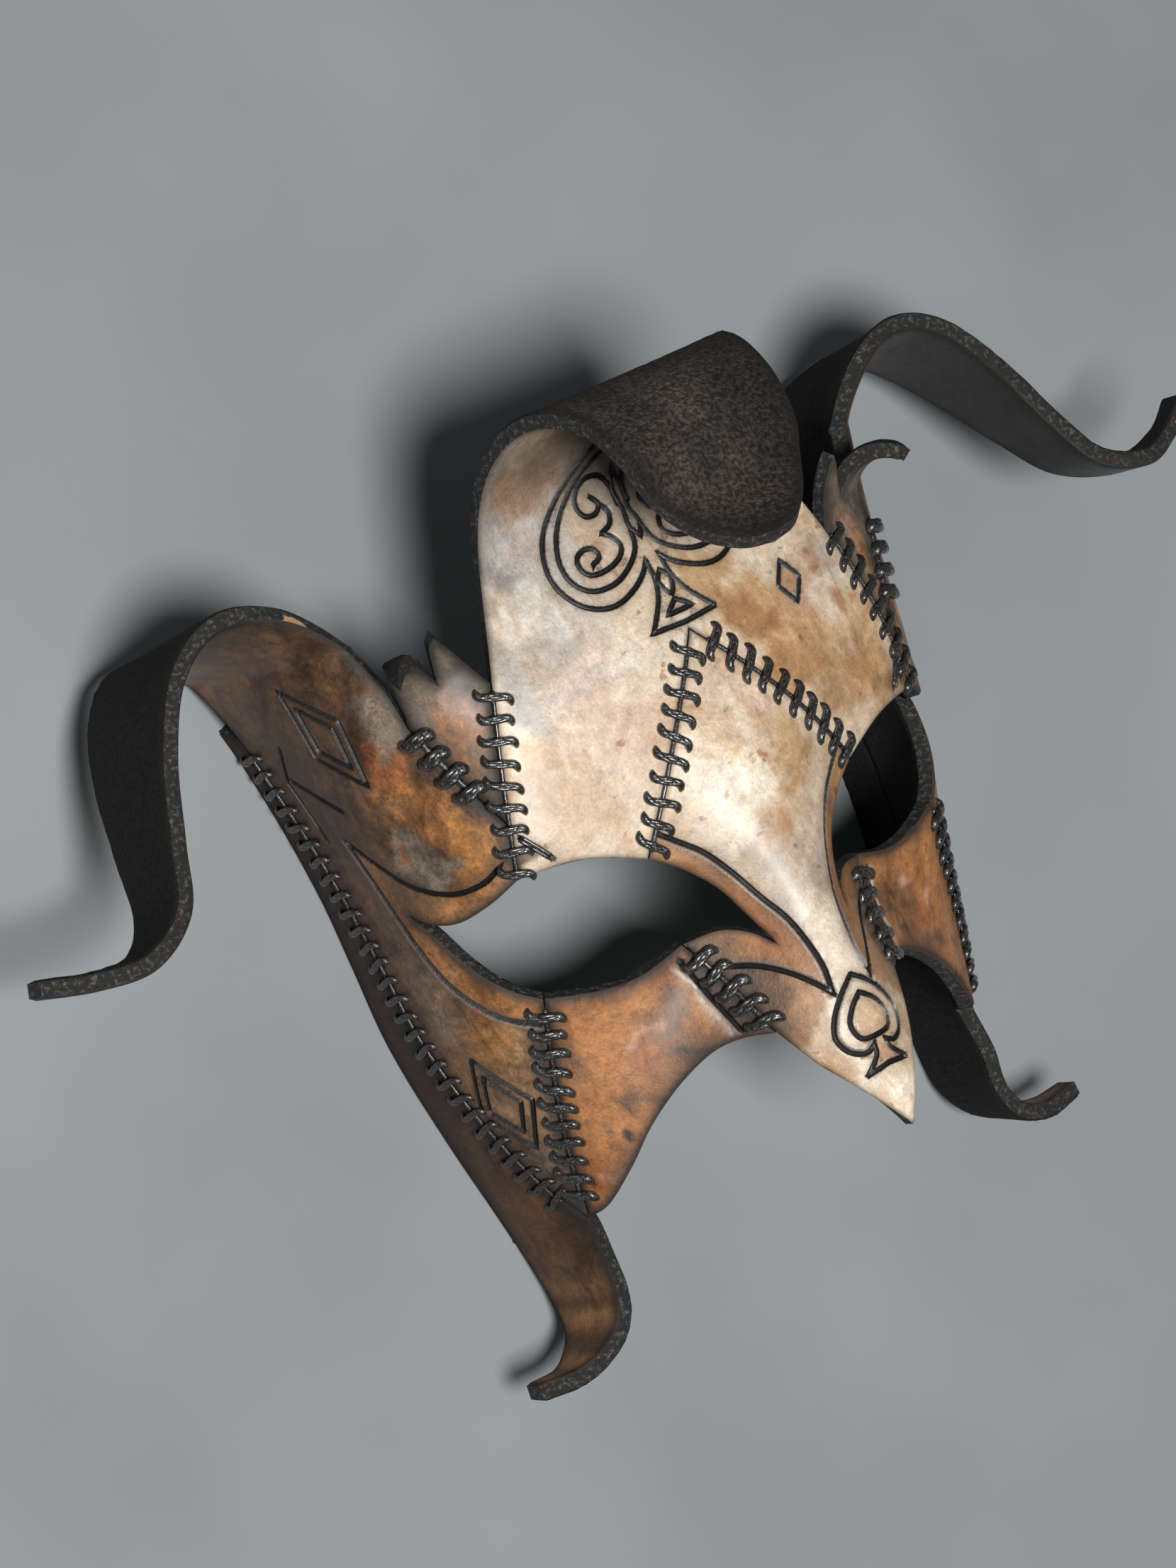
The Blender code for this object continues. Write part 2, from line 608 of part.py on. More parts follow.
def side_panel(side):
    """Temple and under-eye panel with its horn."""
    edges = [edge(c, side) for c in (SEAM_TEMPLE_LOW, EYE_OUTER_TOP, EYE_OUTER_LOW, SEAM_CHEEK, SEAM_JAW,
                                     HORN_FAR_EDGE, HORN_ROOT, HORN_NEAR_EDGE, SEAM_GUSSET)]
    grooves = [groove(BROW_LINE, side), groove(LOWER_LINE, side)]
    grooves += [diamond(DIAMOND_TOP, side), diamond(DIAMOND_LOW, side), diamond(DIAMOND_LOW, side, 0.35)]
    grooves += [groove(HALF_DIAMOND, side, False, False), groove(HALF_DIAMOND_BAR, side)]
    leather, root = panel(chain(*edges), grooves, FILL_STEP, None, edge(HORN_ROOT, side))
    tip = HORN_RIGHT_TIP_LIFT if side > 0 else -HORN_LEFT_TIP_DROP
    strap(leather, root, strap_points(HORN_UPPER, side, HORN_REACH / 137.0, tip),
          strap_points(HORN_LOWER, side, HORN_REACH / 137.0, tip))
    return leather


def strap_points(points, side, reach, tip_rise=0.0):
    """Strap edge points on one side, stretched to its reach, its tip turned up or down."""
    last = len(points) - 1
    return [(side * x * reach, y * LONG + tip_rise * (k / last)**2, z * DEEP)
            for k, (x, y, z) in enumerate(points)]


def cheek(side):
    """Cheek panel with the dark tab at the nose."""
    edges = [edge(c, side) for c in (EYE_LOW, SEAM_NOSE_LOW, CHEEK_EDGE, SEAM_CHEEK)]
    return panel(chain(*edges), [groove(TAB_LINE, side)])[0]


def jaw(side):
    """Outer strip that rests on the table and ends in the curled tail."""
    rim = [(100, b) for b in (-61.5, -45, -25, -5, 15, 35, 51)]
    edges = [edge(c, side) for c in (SEAM_JAW, TAIL_ROOT, rim, JAW_END)]
    leather, root = panel(chain(*edges), (), FILL_STEP, None, edge(TAIL_ROOT, side))
    leather.points = [(x, y, FLOOR if z < FLOOR + RIM_TRIM else z) for x, y, z in leather.points]
    strap(leather, root, strap_points(TAIL_UPPER, side, TAIL_REACH / 68.0),
          strap_points(TAIL_LOWER, side, TAIL_REACH / 68.0))
    return leather


def lacing(points, pitch, span, start, finish, side):
    """Waxed lace over one seam: a line along it with a bar across at each stitch."""
    line = edge(points, side, 2.0)
    lengths = np.concatenate([[0], np.cumsum([np.linalg.norm(b - a) for a, b in zip(line, line[1:])])])
    slant = pitch * STITCH_SLANT
    room = lengths[-1] - start - finish - slant - THREAD_WIDTH
    count = max(2, int(room / pitch) + 1)
    margin = start + slant + THREAD_WIDTH / 2 + (room - (count - 1) * pitch) / 2

    def on_line(along):
        return np.array([np.interp(along, lengths, [p[k] for p in line]) for k in (0, 1)])

    def at(along, sideways):
        along = min(max(along, 0.3), lengths[-1] - 0.3)
        run = on_line(min(along + 0.5, lengths[-1])) - on_line(max(along - 0.5, 0))
        run /= np.linalg.norm(run)
        return on_line(along) + np.array((-run[1], run[0])) * sideways

    half = THREAD_WIDTH / 2
    reach = span / 2
    one, other = [], []
    for k in range(count):
        s = margin + k * pitch
        one += [at(s - half, half), at(s - half - slant, reach), at(s + half - slant, reach),
                at(s + half, half)]
        other += [at(s - half, -half), at(s - half - slant, -reach), at(s + half - slant, -reach),
                  at(s + half, -half)]
    outline = one + other[::-1]
    if not is_left_turning(outline):
        outline = outline[::-1]
    flat, faces, _ = cut_flat(outline, [], [], NO_FILL)
    low, high = [], []
    for u, v in flat:
        base = form(u, v)
        normal = form_normal(u, v)
        low.append(base + normal * THREAD_CLEARANCE)
        high.append(base + normal * (THREAD_CLEARANCE + THREAD_WIDTH))
    leather = Leather()
    used = {}
    for face in faces:
        leather.face([high[i] for i in face])
        leather.face([low[i] for i in face[::-1]])
        for a, b in zip(face, face[1:] + face[:1]):
            used[(a, b)] = True
    for a, b in used:
        if (b, a) not in used:
            leather.face([high[b], high[a], low[a], low[b]])
    return leather


def settle(pieces):
    """Move every piece so that the mask stands on z = 0, centred under its box."""
    corners = np.array([v.co[:] for p in pieces for v in p.data.vertices])
    low, high = corners.min(0), corners.max(0)
    shift = ((low[0] + high[0]) / 2, (low[1] + high[1]) / 2, low[2])
    for piece in pieces:
        for vertex in piece.data.vertices:
            vertex.co = (vertex.co.x - shift[0], vertex.co.y - shift[1], vertex.co.z - shift[2])


def main():
    for old in list(bpy.data.objects):
        bpy.data.objects.remove(old, do_unlink=True)
    finish = {name: finish_material(name) for name in FINISHES}
    pieces = [build("forehead_panel", forehead(), finish["bleached"]),
              build("nose_panel", nose(), finish["bleached"])]
    for word, side in (("left", -1), ("right", 1)):
        pieces.append(build("gusset_" + word, gusset(side), finish["grey_brown"]))
        pieces.append(build("side_panel_" + word, side_panel(side), finish["brown"]))
        pieces.append(build("cheek_" + word, cheek(side), finish["copper"]))
        pieces.append(build("jaw_strip_" + word, jaw(side), finish["dark"]))
        for seam, lace in LACES.items():
            pieces.append(build("lacing_" + seam + "_" + word, lacing(*lace, side), finish["thread"]))
    settle(pieces)


main()
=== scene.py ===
# %% [markdown]
# # A jester half mask of tooled and laced leather
# The real mask is cut from flat leather about 3.5 mm thick. Each panel is tooled while it is
# flat, dyed, bent wet over a form of the face, burnished along its edges, and laced to its
# neighbours with waxed thread. This lesson follows the same order: the form, the pattern
# pieces, the tooling, the straps, the laces, the dyes, and last the light and the camera.

# %% Open the fixed frame
import math

import bpy
import numpy as np
from mathutils import Matrix, Vector, noise as field
from mathutils.geometry import delaunay_2d_cdt
from mathutils.kdtree import KDTree


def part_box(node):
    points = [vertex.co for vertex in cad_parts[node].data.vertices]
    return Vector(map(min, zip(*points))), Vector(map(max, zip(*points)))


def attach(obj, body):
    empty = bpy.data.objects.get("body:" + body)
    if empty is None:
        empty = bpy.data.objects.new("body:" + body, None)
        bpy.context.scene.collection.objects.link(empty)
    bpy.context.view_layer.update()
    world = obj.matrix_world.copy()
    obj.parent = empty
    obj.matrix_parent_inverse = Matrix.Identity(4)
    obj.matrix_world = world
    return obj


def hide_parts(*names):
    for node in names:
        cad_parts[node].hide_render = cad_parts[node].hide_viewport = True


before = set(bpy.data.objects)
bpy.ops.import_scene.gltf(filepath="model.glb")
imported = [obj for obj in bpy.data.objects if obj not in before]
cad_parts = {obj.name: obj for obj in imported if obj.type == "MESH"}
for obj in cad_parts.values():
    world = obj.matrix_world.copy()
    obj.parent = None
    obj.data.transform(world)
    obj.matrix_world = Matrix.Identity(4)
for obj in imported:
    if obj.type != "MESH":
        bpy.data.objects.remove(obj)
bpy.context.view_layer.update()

print("nodes in the frame:", len(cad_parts))

# %% [markdown]
# ## The form
# A leather worker bends every panel over one form, so all panels share one surface. It could
# be sculpted, but then no two panels would meet. Here the form is a row of half sections from
# below the nose to the top of the forehead: each is a rounded box with a ridge for the nose.
# Lengths are in millimetres: X across, Y up the face, Z out of it, from the middle of the brow.
# Columns: height up the face, half width, crown, squareness, ridge height, ridge half width.

# %% Sections of the form
MM = 0.001
THICKNESS = 3.5
FLOOR = -56.0
TONGUE_ROOT = 62.0
ROLL_START = 1.5
ROLL_RADIUS = 17.0
TIP_FLICK = 0.03
FLATTEN_LENGTH = 20.0
ROW_STEP = 0.5
COLUMNS = 401
SECTION_SAMPLES = 361
LAST_CELL = 1.001
STATIONS = np.array([
    (-90.0, 47.0, -14.0, 3.0, 25.0, 22.0),
    (-62.0, 51.5, -12.5, 3.0, 24.5, 22.0),
    (-38.0, 56.5, -10.0, 3.0, 21.5, 21.0),
    (-18.0, 59.8, -5.5, 3.1, 15.0, 14.0),
    (0.0, 60.5, 0.5, 3.5, 8.5, 16.0),
    (15.0, 61.0, 2.5, 3.7, 5.5, 20.0),
    (43.0, 65.0, 1.5, 3.8, 2.5, 26.0),
    (62.0, 70.0, -1.5, 4.0, 1.5, 30.0),
])


def through_stations(up, column):
    """One column of the stations as a smooth curve over the height."""
    knots, values = STATIONS[:, 0], STATIONS[:, column]
    slopes = np.diff(values) / np.diff(knots)
    ends = np.concatenate([slopes[:1], (slopes[1:] + slopes[:-1]) / 2, slopes[-1:]])
    i = np.clip(np.searchsorted(knots, up) - 1, 0, len(knots) - 2)
    h = knots[i + 1] - knots[i]
    t = (up - knots[i]) / h
    rise = (2 * t**3 - 3 * t**2 + 1) * values[i] + (3 * t**2 - 2 * t**3) * values[i + 1]
    return rise + (t**3 - 2 * t**2 + t) * h * ends[i] + (t**3 - t**2) * h * ends[i + 1]


HEIGHTS = np.arange(STATIONS[0, 0], TONGUE_ROOT + ROW_STEP / 2, ROW_STEP)
ROUND = np.zeros(len(HEIGHTS))
FORM_X = np.zeros((len(HEIGHTS), COLUMNS))
FORM_Z = np.zeros((len(HEIGHTS), COLUMNS))
for i, up in enumerate(HEIGHTS):
    width, crown, square, ridge, ridge_width = (through_stations(up, k) for k in range(1, 6))
    share = np.sin(np.linspace(0, math.pi / 2, SECTION_SAMPLES))
    x = width * share
    fall = 1 - np.power(np.clip(1 - share**square, 0, 1), 1 / square)
    z = crown - (crown - FLOOR) * fall + ridge * np.exp(-(x / ridge_width)**2)
    way = np.concatenate([[0], np.cumsum(np.hypot(np.diff(x), np.diff(z)))])
    even = np.linspace(0, way[-1], COLUMNS)
    ROUND[i] = way[-1]
    FORM_X[i] = np.interp(even, way, x)
    FORM_Z[i] = np.interp(even, way, z)
at_eyes = float(np.interp(0, HEIGHTS, ROUND))
print("half way round the form at eye level:", round(at_eyes, 1), "mm")

# %% [markdown]
# A place on the leather is a pair (u, v): u runs round the form from the middle of the face, v
# up it, both in millimetres of leather. Past the root of the forehead's tall point the leather
# leaves the form and rolls forward in a half turn, and its tip flicks up over the brow.


# %% From flat leather to the form
def form(uv):
    """Points of the grain side for flat places (u, v)."""
    u, v = uv[:, 0], uv[:, 1]
    row = np.clip((np.minimum(v, TONGUE_ROOT) - HEIGHTS[0]) / ROW_STEP, 0, len(HEIGHTS) - LAST_CELL)
    i = row.astype(int)
    f = row - i
    length = ROUND[i] * (1 - f) + ROUND[i + 1] * f
    column = np.clip(np.abs(u) / length, 0, 1) * (COLUMNS - LAST_CELL)
    j = column.astype(int)
    g = column - j

    def read(table):
        low = table[i, j] * (1 - g) + table[i, j + 1] * g
        high = table[i + 1, j] * (1 - g) + table[i + 1, j + 1] * g
        return low * (1 - f) + high * f

    x = np.sign(u) * read(FORM_X)
    z = read(FORM_Z) - np.maximum(0, np.abs(u) - length)
    along = np.maximum(v - TONGUE_ROOT, 0)
    bend = np.clip(along - ROLL_START, 0, math.pi * ROLL_RADIUS)
    turn = bend / ROLL_RADIUS
    rest = np.maximum(along - ROLL_START - bend, 0)
    y = np.minimum(v, TONGUE_ROOT) + np.minimum(along, ROLL_START)
    y = y + ROLL_RADIUS * np.sin(turn) + rest * np.cos(turn)
    crest = FORM_Z[-1, 0] + ROLL_RADIUS * (1 - np.cos(turn)) + rest * np.sin(turn)
    crest = crest + TIP_FLICK * rest**2
    turn = turn - np.arctan(2 * TIP_FLICK * rest)
    fall = (z - FORM_Z[-1, 0]) * np.exp(-along / FLATTEN_LENGTH)
    rolled = v > TONGUE_ROOT
    y = np.where(rolled, y - fall * np.sin(turn), v)
    z = np.where(rolled, crest + fall * np.cos(turn), z)
    return np.stack([x, y, z], 1)


def form_normals(uv):
    """Outward directions of the leather at flat places."""
    step = 0.4
    side = form(uv + (step, 0)) - form(uv - (step, 0))
    rise = form(uv + (0, step)) - form(uv - (0, step))
    normal = np.cross(side, rise)
    return normal / np.linalg.norm(normal, axis=1, keepdims=True)


def round_length(v):
    """Way round the form, from the middle to the rim, at a height."""
    return float(np.interp(min(v, TONGUE_ROOT), HEIGHTS, ROUND))


# %% [markdown]
# ## Pattern pieces
# The outlines are the same lines that the solids have: each seam is one smooth curve that two
# panels share, so they meet with an even gap. A point is (percent of the way round, height).

# %% Seams and edges of one half
SIDES = (("left", -1), ("right", 1))
SEAM_NOSE_TOP = [(0, 36.6), (12.5, 19), (24.9, 1.2)]
SEAM_TEMPLE = [(37, 42.3), (41.5, 29), (45, 17.1)]
SEAM_TEMPLE_LOW = [(45, 17.1), (47.7, 7.4)]
SEAM_GUSSET = [(53.2, 40.5), (49.6, 29), (45, 17.1)]
SEAM_CHEEK = [(53.9, -15.2), (58, -25), (63.2, -37), (67, -47), (70.7, -58.5)]
SEAM_NOSE_LOW = [(26.2, -16.3), (22, -26.5), (18.2, -37.6)]
SEAM_JAW = [(94.8, 48.5), (92.7, 28), (90.5, 11), (87.5, -6), (85, -22), (81.5, -37),
            (76.6, -50), (70.7, -58.5)]
EYE_TOP = [(24.9, 1.2), (33.5, 5.4), (40.3, 7.0), (47.7, 7.4)]
EYE_OUTER_TOP = [(47.7, 7.4), (54, 5.0), (61.5, 3.6), (68, 4.8), (72.5, 7.5)]
EYE_OUTER_LOW = [(72.5, 7.5), (68.5, 3.0), (65.2, -2.4), (61.5, -8), (57.8, -12.2),
                 (53.9, -15.2)]
EYE_LOW = [(53.9, -15.2), (43.4, -17.9), (35.5, -18.4), (26.2, -16.3)]
EYE_INNER_LOW = [(26.2, -16.3), (19, -16.4), (13.8, -18.8), (10.6, -22)]
EYE_INNER = [(10.6, -22), (13.3, -15.3), (15.9, -9), (20.3, -3), (24.9, 1.2)]
TONGUE_EDGE = [(37, 42.3), (32.5, 54), (28.2, 65), (24.3, 78), (20.9, 90), (18.2, 101),
               (16.9, 109), (15.2, 118), (11, 127.2), (5.8, 132), (0, 133.4)]
CHEEK_EDGE = [(18.2, -37.6), (24.4, -36.5), (30.4, -36.8), (36.7, -39), (42.7, -42), (49, -46),
              (56, -51.5), (64.5, -57), (70.7, -58.5)]
NOSE_EDGE = [(18.2, -37.6), (16, -41.5), (13.4, -45.8), (9.1, -51.2), (4.3, -57.3), (0, -63)]
GUSSET_POINTS = [(37, 42.3), (40.4, 50), (42.6, 54.5), (44, 52.5), (45.2, 46.5), (47, 52),
                 (49.8, 59.5), (51.2, 54), (52.3, 47), (53.2, 40.5)]
HORN_NEAR_EDGE = [(53.2, 40.5), (53.6, 49), (55.5, 57.5)]
HORN_ROOT = [(55.5, 57.5), (69, 58.5), (84, 59.7), (98, 60.8)]
HORN_FAR_EDGE = [(98, 60.8), (95.6, 54), (94.8, 48.5)]
TAIL_ROOT = [(70.7, -58.5), (80.5, -59.5), (90, -60.5), (100, -61.5)]
JAW_RIM = [(100, -61.5), (100, -45), (100, -25), (100, -5), (100, 15), (100, 35), (100, 51)]
JAW_END = [(100, 51), (94.8, 48.5)]


# %% Smooth lines on the flat leather
EDGE_STEP = 1.0
DENSE_STEP = 0.25
FAR_AWAY = 99.0
SHARPEST_LEAN = 0.5


def between(a, b, c, d, t):
    """A place on the smooth curve from b to c, whose neighbours are a and d."""
    return 0.5 * (2 * b + (c - a) * t + (2 * a - 5 * b + 4 * c - d) * t**2
                  + (3 * b - a - 3 * c + d) * t**3)


def spline(points, step):
    """Smooth line through points, cut into pieces of about one step."""
    pts = [np.array(p, float) for p in points]
    ends = [2 * pts[0] - pts[1]] + pts + [2 * pts[-1] - pts[-2]]
    line = []
    for a, b, c, d in zip(ends, ends[1:], ends[2:], ends[3:]):
        count = max(1, round(float(np.linalg.norm(c - b)) / step))
        line += [between(a, b, c, d, k / count) for k in range(count)]
    return line + [pts[-1]]


def straight(points, step):
    """The same, with straight runs and sharp corners."""
    line = []
    for a, b in zip(points, points[1:]):
        line += spline([a, b], step)[:-1]
    return line + [np.array(points[-1], float)]


def edge(points, side=1, smooth=True, step=EDGE_STEP):
    """A seam or edge of the pattern in millimetres of leather, on the left (-1) or right (1)."""
    flat = [(side * a / 100 * round_length(b), b) for a, b in points]
    return spline(flat, step) if smooth else straight(flat, step)


def chain(*edges):
    """Edges joined head to tail into one closed outline, without doubled points."""
    outline = []
    for points in edges:
        if outline:
            to_head, to_tail = (np.linalg.norm(outline[-1] - points[k]) for k in (0, -1))
            points = points[::-1] if to_head > to_tail else points
        outline += list(points[1:] if outline else points)
    return outline[:-1]


def across_middle(seams):
    """The outline of a panel that crosses the middle of the face, from its left half's edges."""
    return chain(*(edge(c, -1) for c in seams), *(edge(c, 1) for c in seams[::-1]))


def beside(line, distance, closed=False):
    """A line beside a line, at a distance to its left."""
    line = np.array(line)
    if closed:
        before = line - np.roll(line, 1, 0)
        after = np.roll(line, -1, 0) - line
    else:
        runs = np.diff(line, axis=0)
        before = np.vstack([runs[:1], runs])
        after = np.vstack([runs, runs[-1:]])
    before = before / np.maximum(np.linalg.norm(before, axis=1, keepdims=True), 1e-9)
    after = after / np.maximum(np.linalg.norm(after, axis=1, keepdims=True), 1e-9)
    normal = np.stack([-before[:, 1] - after[:, 1], before[:, 0] + after[:, 0]], 1)
    normal /= np.maximum(np.linalg.norm(normal, axis=1, keepdims=True), 1e-6)
    lean = np.abs(-before[:, 1] * normal[:, 0] + before[:, 0] * normal[:, 1])
    return line + normal * (distance / np.maximum(lean, SHARPEST_LEAN))[:, None]


def turns_left(outline):
    """Whether a closed outline runs anticlockwise."""
    a = np.array(outline)
    b = np.roll(a, -1, 0)
    return float((a[:, 0] * b[:, 1] - b[:, 0] * a[:, 1]).sum()) > 0


def inside(points, outline):
    """Which points lie inside a closed outline."""
    a = np.array(outline)
    b = np.roll(a, -1, 0)
    hits = np.zeros(len(points), int)
    for p, q in zip(a, b):
        across = (p[1] > points[:, 1]) != (q[1] > points[:, 1])
        where = p[0] + (points[:, 1] - p[1]) * (q[0] - p[0]) / (q[1] - p[1] if q[1] != p[1] else 1)
        hits += across & (points[:, 0] < where)
    return hits % 2 == 1


def nearest(points, lines):
    """Distance from each point to the nearest of some lines."""
    dense = [p for line in lines for p in straight(line, DENSE_STEP)] if lines else []
    if not dense:
        return np.full(len(points), FAR_AWAY)
    tree = KDTree(len(dense))
    for k, (u, v) in enumerate(dense):
        tree.insert((u, v, 0), k)
    tree.balance()
    return np.array([tree.find((u, v, 0))[2] for u, v in points])


# %% [markdown]
# ## Tooling
# The carved figures are cut with a swivel knife and bevelled, which leaves a groove with a
# steep wall and a soft lip. Bump alone would vanish from the side, so every groove is real:
# the pattern is triangulated along the groove's bottom, its walls and its shoulders. A bevelled
# figure has two more rails on the side that slopes away, where the tool left a smooth band.
# Figures are drawn in millimetres of leather on the right half and mirrored. The profile is
# pairs of distance from the groove's bottom line and depth, and a depth below zero is the lip.

# %% Tooled figures
GROOVE_PROFILE = ((0.0, 0.75), (0.26, 0.6), (0.56, 0.0), (0.95, -0.14), (1.7, 0.0))
GROOVE_RAILS = (0.0, 0.26, 0.56)
BEVEL_RAILS = (0.9, 1.3)
BEVEL_REACH = 0.42
FIGURE_STEP = 0.7
DIAMOND_INSET = 0.38
SPADE_LOBE = [(2.1, 75.5), (5.5, 73), (9.5, 70.3), (14.2, 66.5), (17.9, 62.5), (20.0, 58.5),
              (20.6, 54.4), (19.4, 50.6), (17.0, 47.7), (13.6, 46.0), (10.0, 45.9), (6.1, 47.3),
              (3.2, 49.2), (1.6, 51)]
SPADE_LOBE_INNER = [(2.0, 72.8), (5.0, 71.2), (8.6, 68.9), (12.6, 65.2), (15.6, 61.3), (17.4, 57.3),
                    (17.5, 53.7), (15.8, 50.8), (13.0, 49.4), (8.9, 49.5), (5.2, 51.2), (2.6, 53.4),
                    (1.6, 55.6), (1.2, 58)]
SPADE_SCROLL = [(1.2, 62.3), (1.3, 65.6), (3.0, 68.4), (6.0, 69.0), (8.6, 67.4), (9.5, 64.8),
                (8.4, 62.5), (6.1, 62.3), (4.9, 63.8), (5.9, 65.2)]
SPADE_CUSP = [(4.9, 63.8), (3.6, 61.8), (4.6, 59.6), (7.0, 58.6)]
SPADE_CURL = [(7.0, 58.6), (5.2, 57.0), (4.8, 54.8), (6.8, 53.0), (10.2, 52.2), (13.2, 52.6),
              (14.4, 54.6), (13.8, 56.4), (11.8, 57.2), (9.9, 56.5), (9.8, 54.8), (11.4, 54.2)]
SPADE_HEART = [(0, 69), (1.0, 65), (0.6, 61), (1.2, 58), (0, 55.4)]
SPADE_STEM = [(1.6, 51), (1.7, 47.6), (2.9, 44.0), (5.2, 40.8), (7.2, 38.4)]
SPADE_FOOT = [(7.2, 38.4), (0, 38.0), (-7.2, 38.4)]
SPADE_ALMOND = [(0, 48.5), (1.4, 46.4), (0, 43.6), (-1.4, 46.4)]
SPADE_WEDGE = [(0, 42.6), (3.0, 40.3), (-3.0, 40.3)]
LEAF = [(22.2, 4.9), (19.6, 2.4), (15.6, -1.7), (12.2, -7.2), (9.2, -13.2), (6.2, -18.8),
        (4.7, -24.3), (4.1, -29.6), (4.7, -34.3)]
LEAF_BACK = [(4.7, -34.3), (7.7, -30.6), (11.1, -27.5), (15.4, -24.9), (20.3, -23.2)]
NOSE_SPADE = [(0, -32.6), (3.5, -35.4), (6.4, -38.9), (7.7, -42.4), (6.4, -45.5), (3.6, -47),
              (1.4, -46.2)]
NOSE_SPADE_INNER = [(0, -36.2), (2.6, -38.4), (4.2, -41.2), (3.2, -44.2), (0, -44.7)]
NOSE_SPADE_STEM = [(1.4, -46.2), (1.9, -48.2), (4.7, -50.9)]
NOSE_SPADE_FOOT = [(4.7, -50.9), (0, -50.3), (-4.7, -50.9)]
PIP = [(28.2, 36.5), (25.3, 40.7), (22.4, 36.5), (25.3, 32.3)]
BROW_LINE = [(79.6, 24.1), (74, 18.3), (68.1, 12.9), (60.4, 9.4), (54, 9.2), (49.6, 11)]
LOWER_LINE = [(79.6, 24.1), (77.8, 16.4), (74.9, 5.7), (71.4, -4), (67.2, -11), (62.5, -16.2),
              (56.8, -19.6)]
DIAMOND_TOP = [(72.6, 55), (64.2, 46.3), (65.8, 33), (74.2, 40.8)]
DIAMOND_LOW = [(74.7, -22), (66.7, -32.7), (72.2, -42.1), (80.5, -33.4)]
HALF_DIAMOND = [(83.3, 44), (87.3, 37.7), (85.6, 25.9)]
HALF_DIAMOND_BAR = [(85.8, 38), (75.9, 30)]
GUSSET_LINE = [(44.2, 14.6), (40.8, 9.4)]
TAB_LINE = [(28.0, -19.6), (26.2, -28), (24.2, -34.6)]


def drawn(points, side=1, smooth=True, closed=False, bevel=0):
    """A figure given in millimetres, mirrored for the left half; bevel is the side of its slope."""
    ring = points + points[:1] if closed else points
    flat = [(side * a, b) for a, b in ring]
    line = spline(flat, FIGURE_STEP) if smooth else straight(flat, FIGURE_STEP)
    return (line[:-1] if closed else line), closed, bevel * side


def placed(points, side=1, smooth=True, closed=False, bevel=0):
    """A figure given in percent of the way round."""
    ring = points + points[:1] if closed else points
    line = edge(ring, side, smooth, FIGURE_STEP)
    return (line[:-1] if closed else line), closed, bevel * side


def double(points, side):
    """A diamond with a smaller one inside it."""
    line = placed(points, side, False, True)[0]
    centre = np.mean(line, axis=0)
    smaller = [centre + (p - centre) * (1 - DIAMOND_INSET) for p in line]
    return [(line, True, 0), (smaller, True, 0)]


# %% [markdown]
# ## A panel
# One function does to each pattern piece what the bench does: it cuts the outline with a
# seam allowance, carves the figures, bends the piece over the form, gives it its thickness and
# rounds its burnished edge. The grain side, the cut edge and the flesh side are three finishes,
# so each face is told which it is. The dye is kept at every vertex, with four marks: how deep in
# a groove it is, how near a groove, how near the edge, and whether it is on a bevelled slope.

# %% Sizes and dyes of a panel
SEAM_ALLOWANCE = 0.15
FILL_STEP = 1.1
HEXAGON_ROW = 0.866
EDGE_CLEARANCE = 0.45
GROOVE_CLEARANCE = 0.4
EDGE_ROUND = 0.55
EDGE_DROP = 0.42
NAP = 0.16
NAP_SIZE = 1.1
WALL_LEVELS = (0.33, 0.67)
ROOT_REACH = 0.8
GROOVE_REACH = 0.70
SOOT_REACH = 2.0
RIM_REACH = 1.5
GRAIN, CUT_EDGE, FLESH = 0, 1, 2
DYES = {
    "cream": (0.62, 0.50, 0.37), "ivory": (0.80, 0.70, 0.56), "grey": (0.42, 0.395, 0.37),
    "ochre": (0.47, 0.29, 0.14), "tan": (0.33, 0.175, 0.075), "amber": (0.34, 0.150, 0.042),
    "orange": (0.40, 0.165, 0.052), "rust": (0.30, 0.095, 0.030), "copper": (0.40, 0.175, 0.062),
    "rose": (0.50, 0.27, 0.185), "taupe": (0.21, 0.165, 0.120), "brown": (0.120, 0.060, 0.028),
    # The darkest brown, given to the jaw strips, carries painted shade as well as dye.
    "umber": (0.048, 0.027, 0.017), "shaded_russet": (0.036, 0.017, 0.011), "smoke": (0.10, 0.084, 0.073),
    "char": (0.018, 0.016, 0.014), "suede": (0.050, 0.038, 0.029), "nap_black": (0.010, 0.009, 0.008),
}

# %% [markdown]
# Dye bleeds into wet leather, so the places of the patches are warped by two noises: BLEEDS
# gives each one's size, its two seeds and its reach. A patch is one of three kinds. A spot is
# (u, v, radius u, radius v, dye, strength, crispness), and without crispness it is soft. A band
# is (line, reach, dye, strength), and a region is (outline, dye, strength).

# %% Lay the dye
BLEEDS = ((7, 3.3, 9.1, 4.5), (2.6, 5.7, 7.9, 1.6))
BAND_BLEED = 0.4
CRISP_LEVEL = 0.37


def waves(places, size, seed):
    """Smooth noise at flat places or points, with spots of about one size in millimetres."""
    return np.array([field.noise(Vector((p[0] / size + seed, p[1] / size, seed))) for p in places])


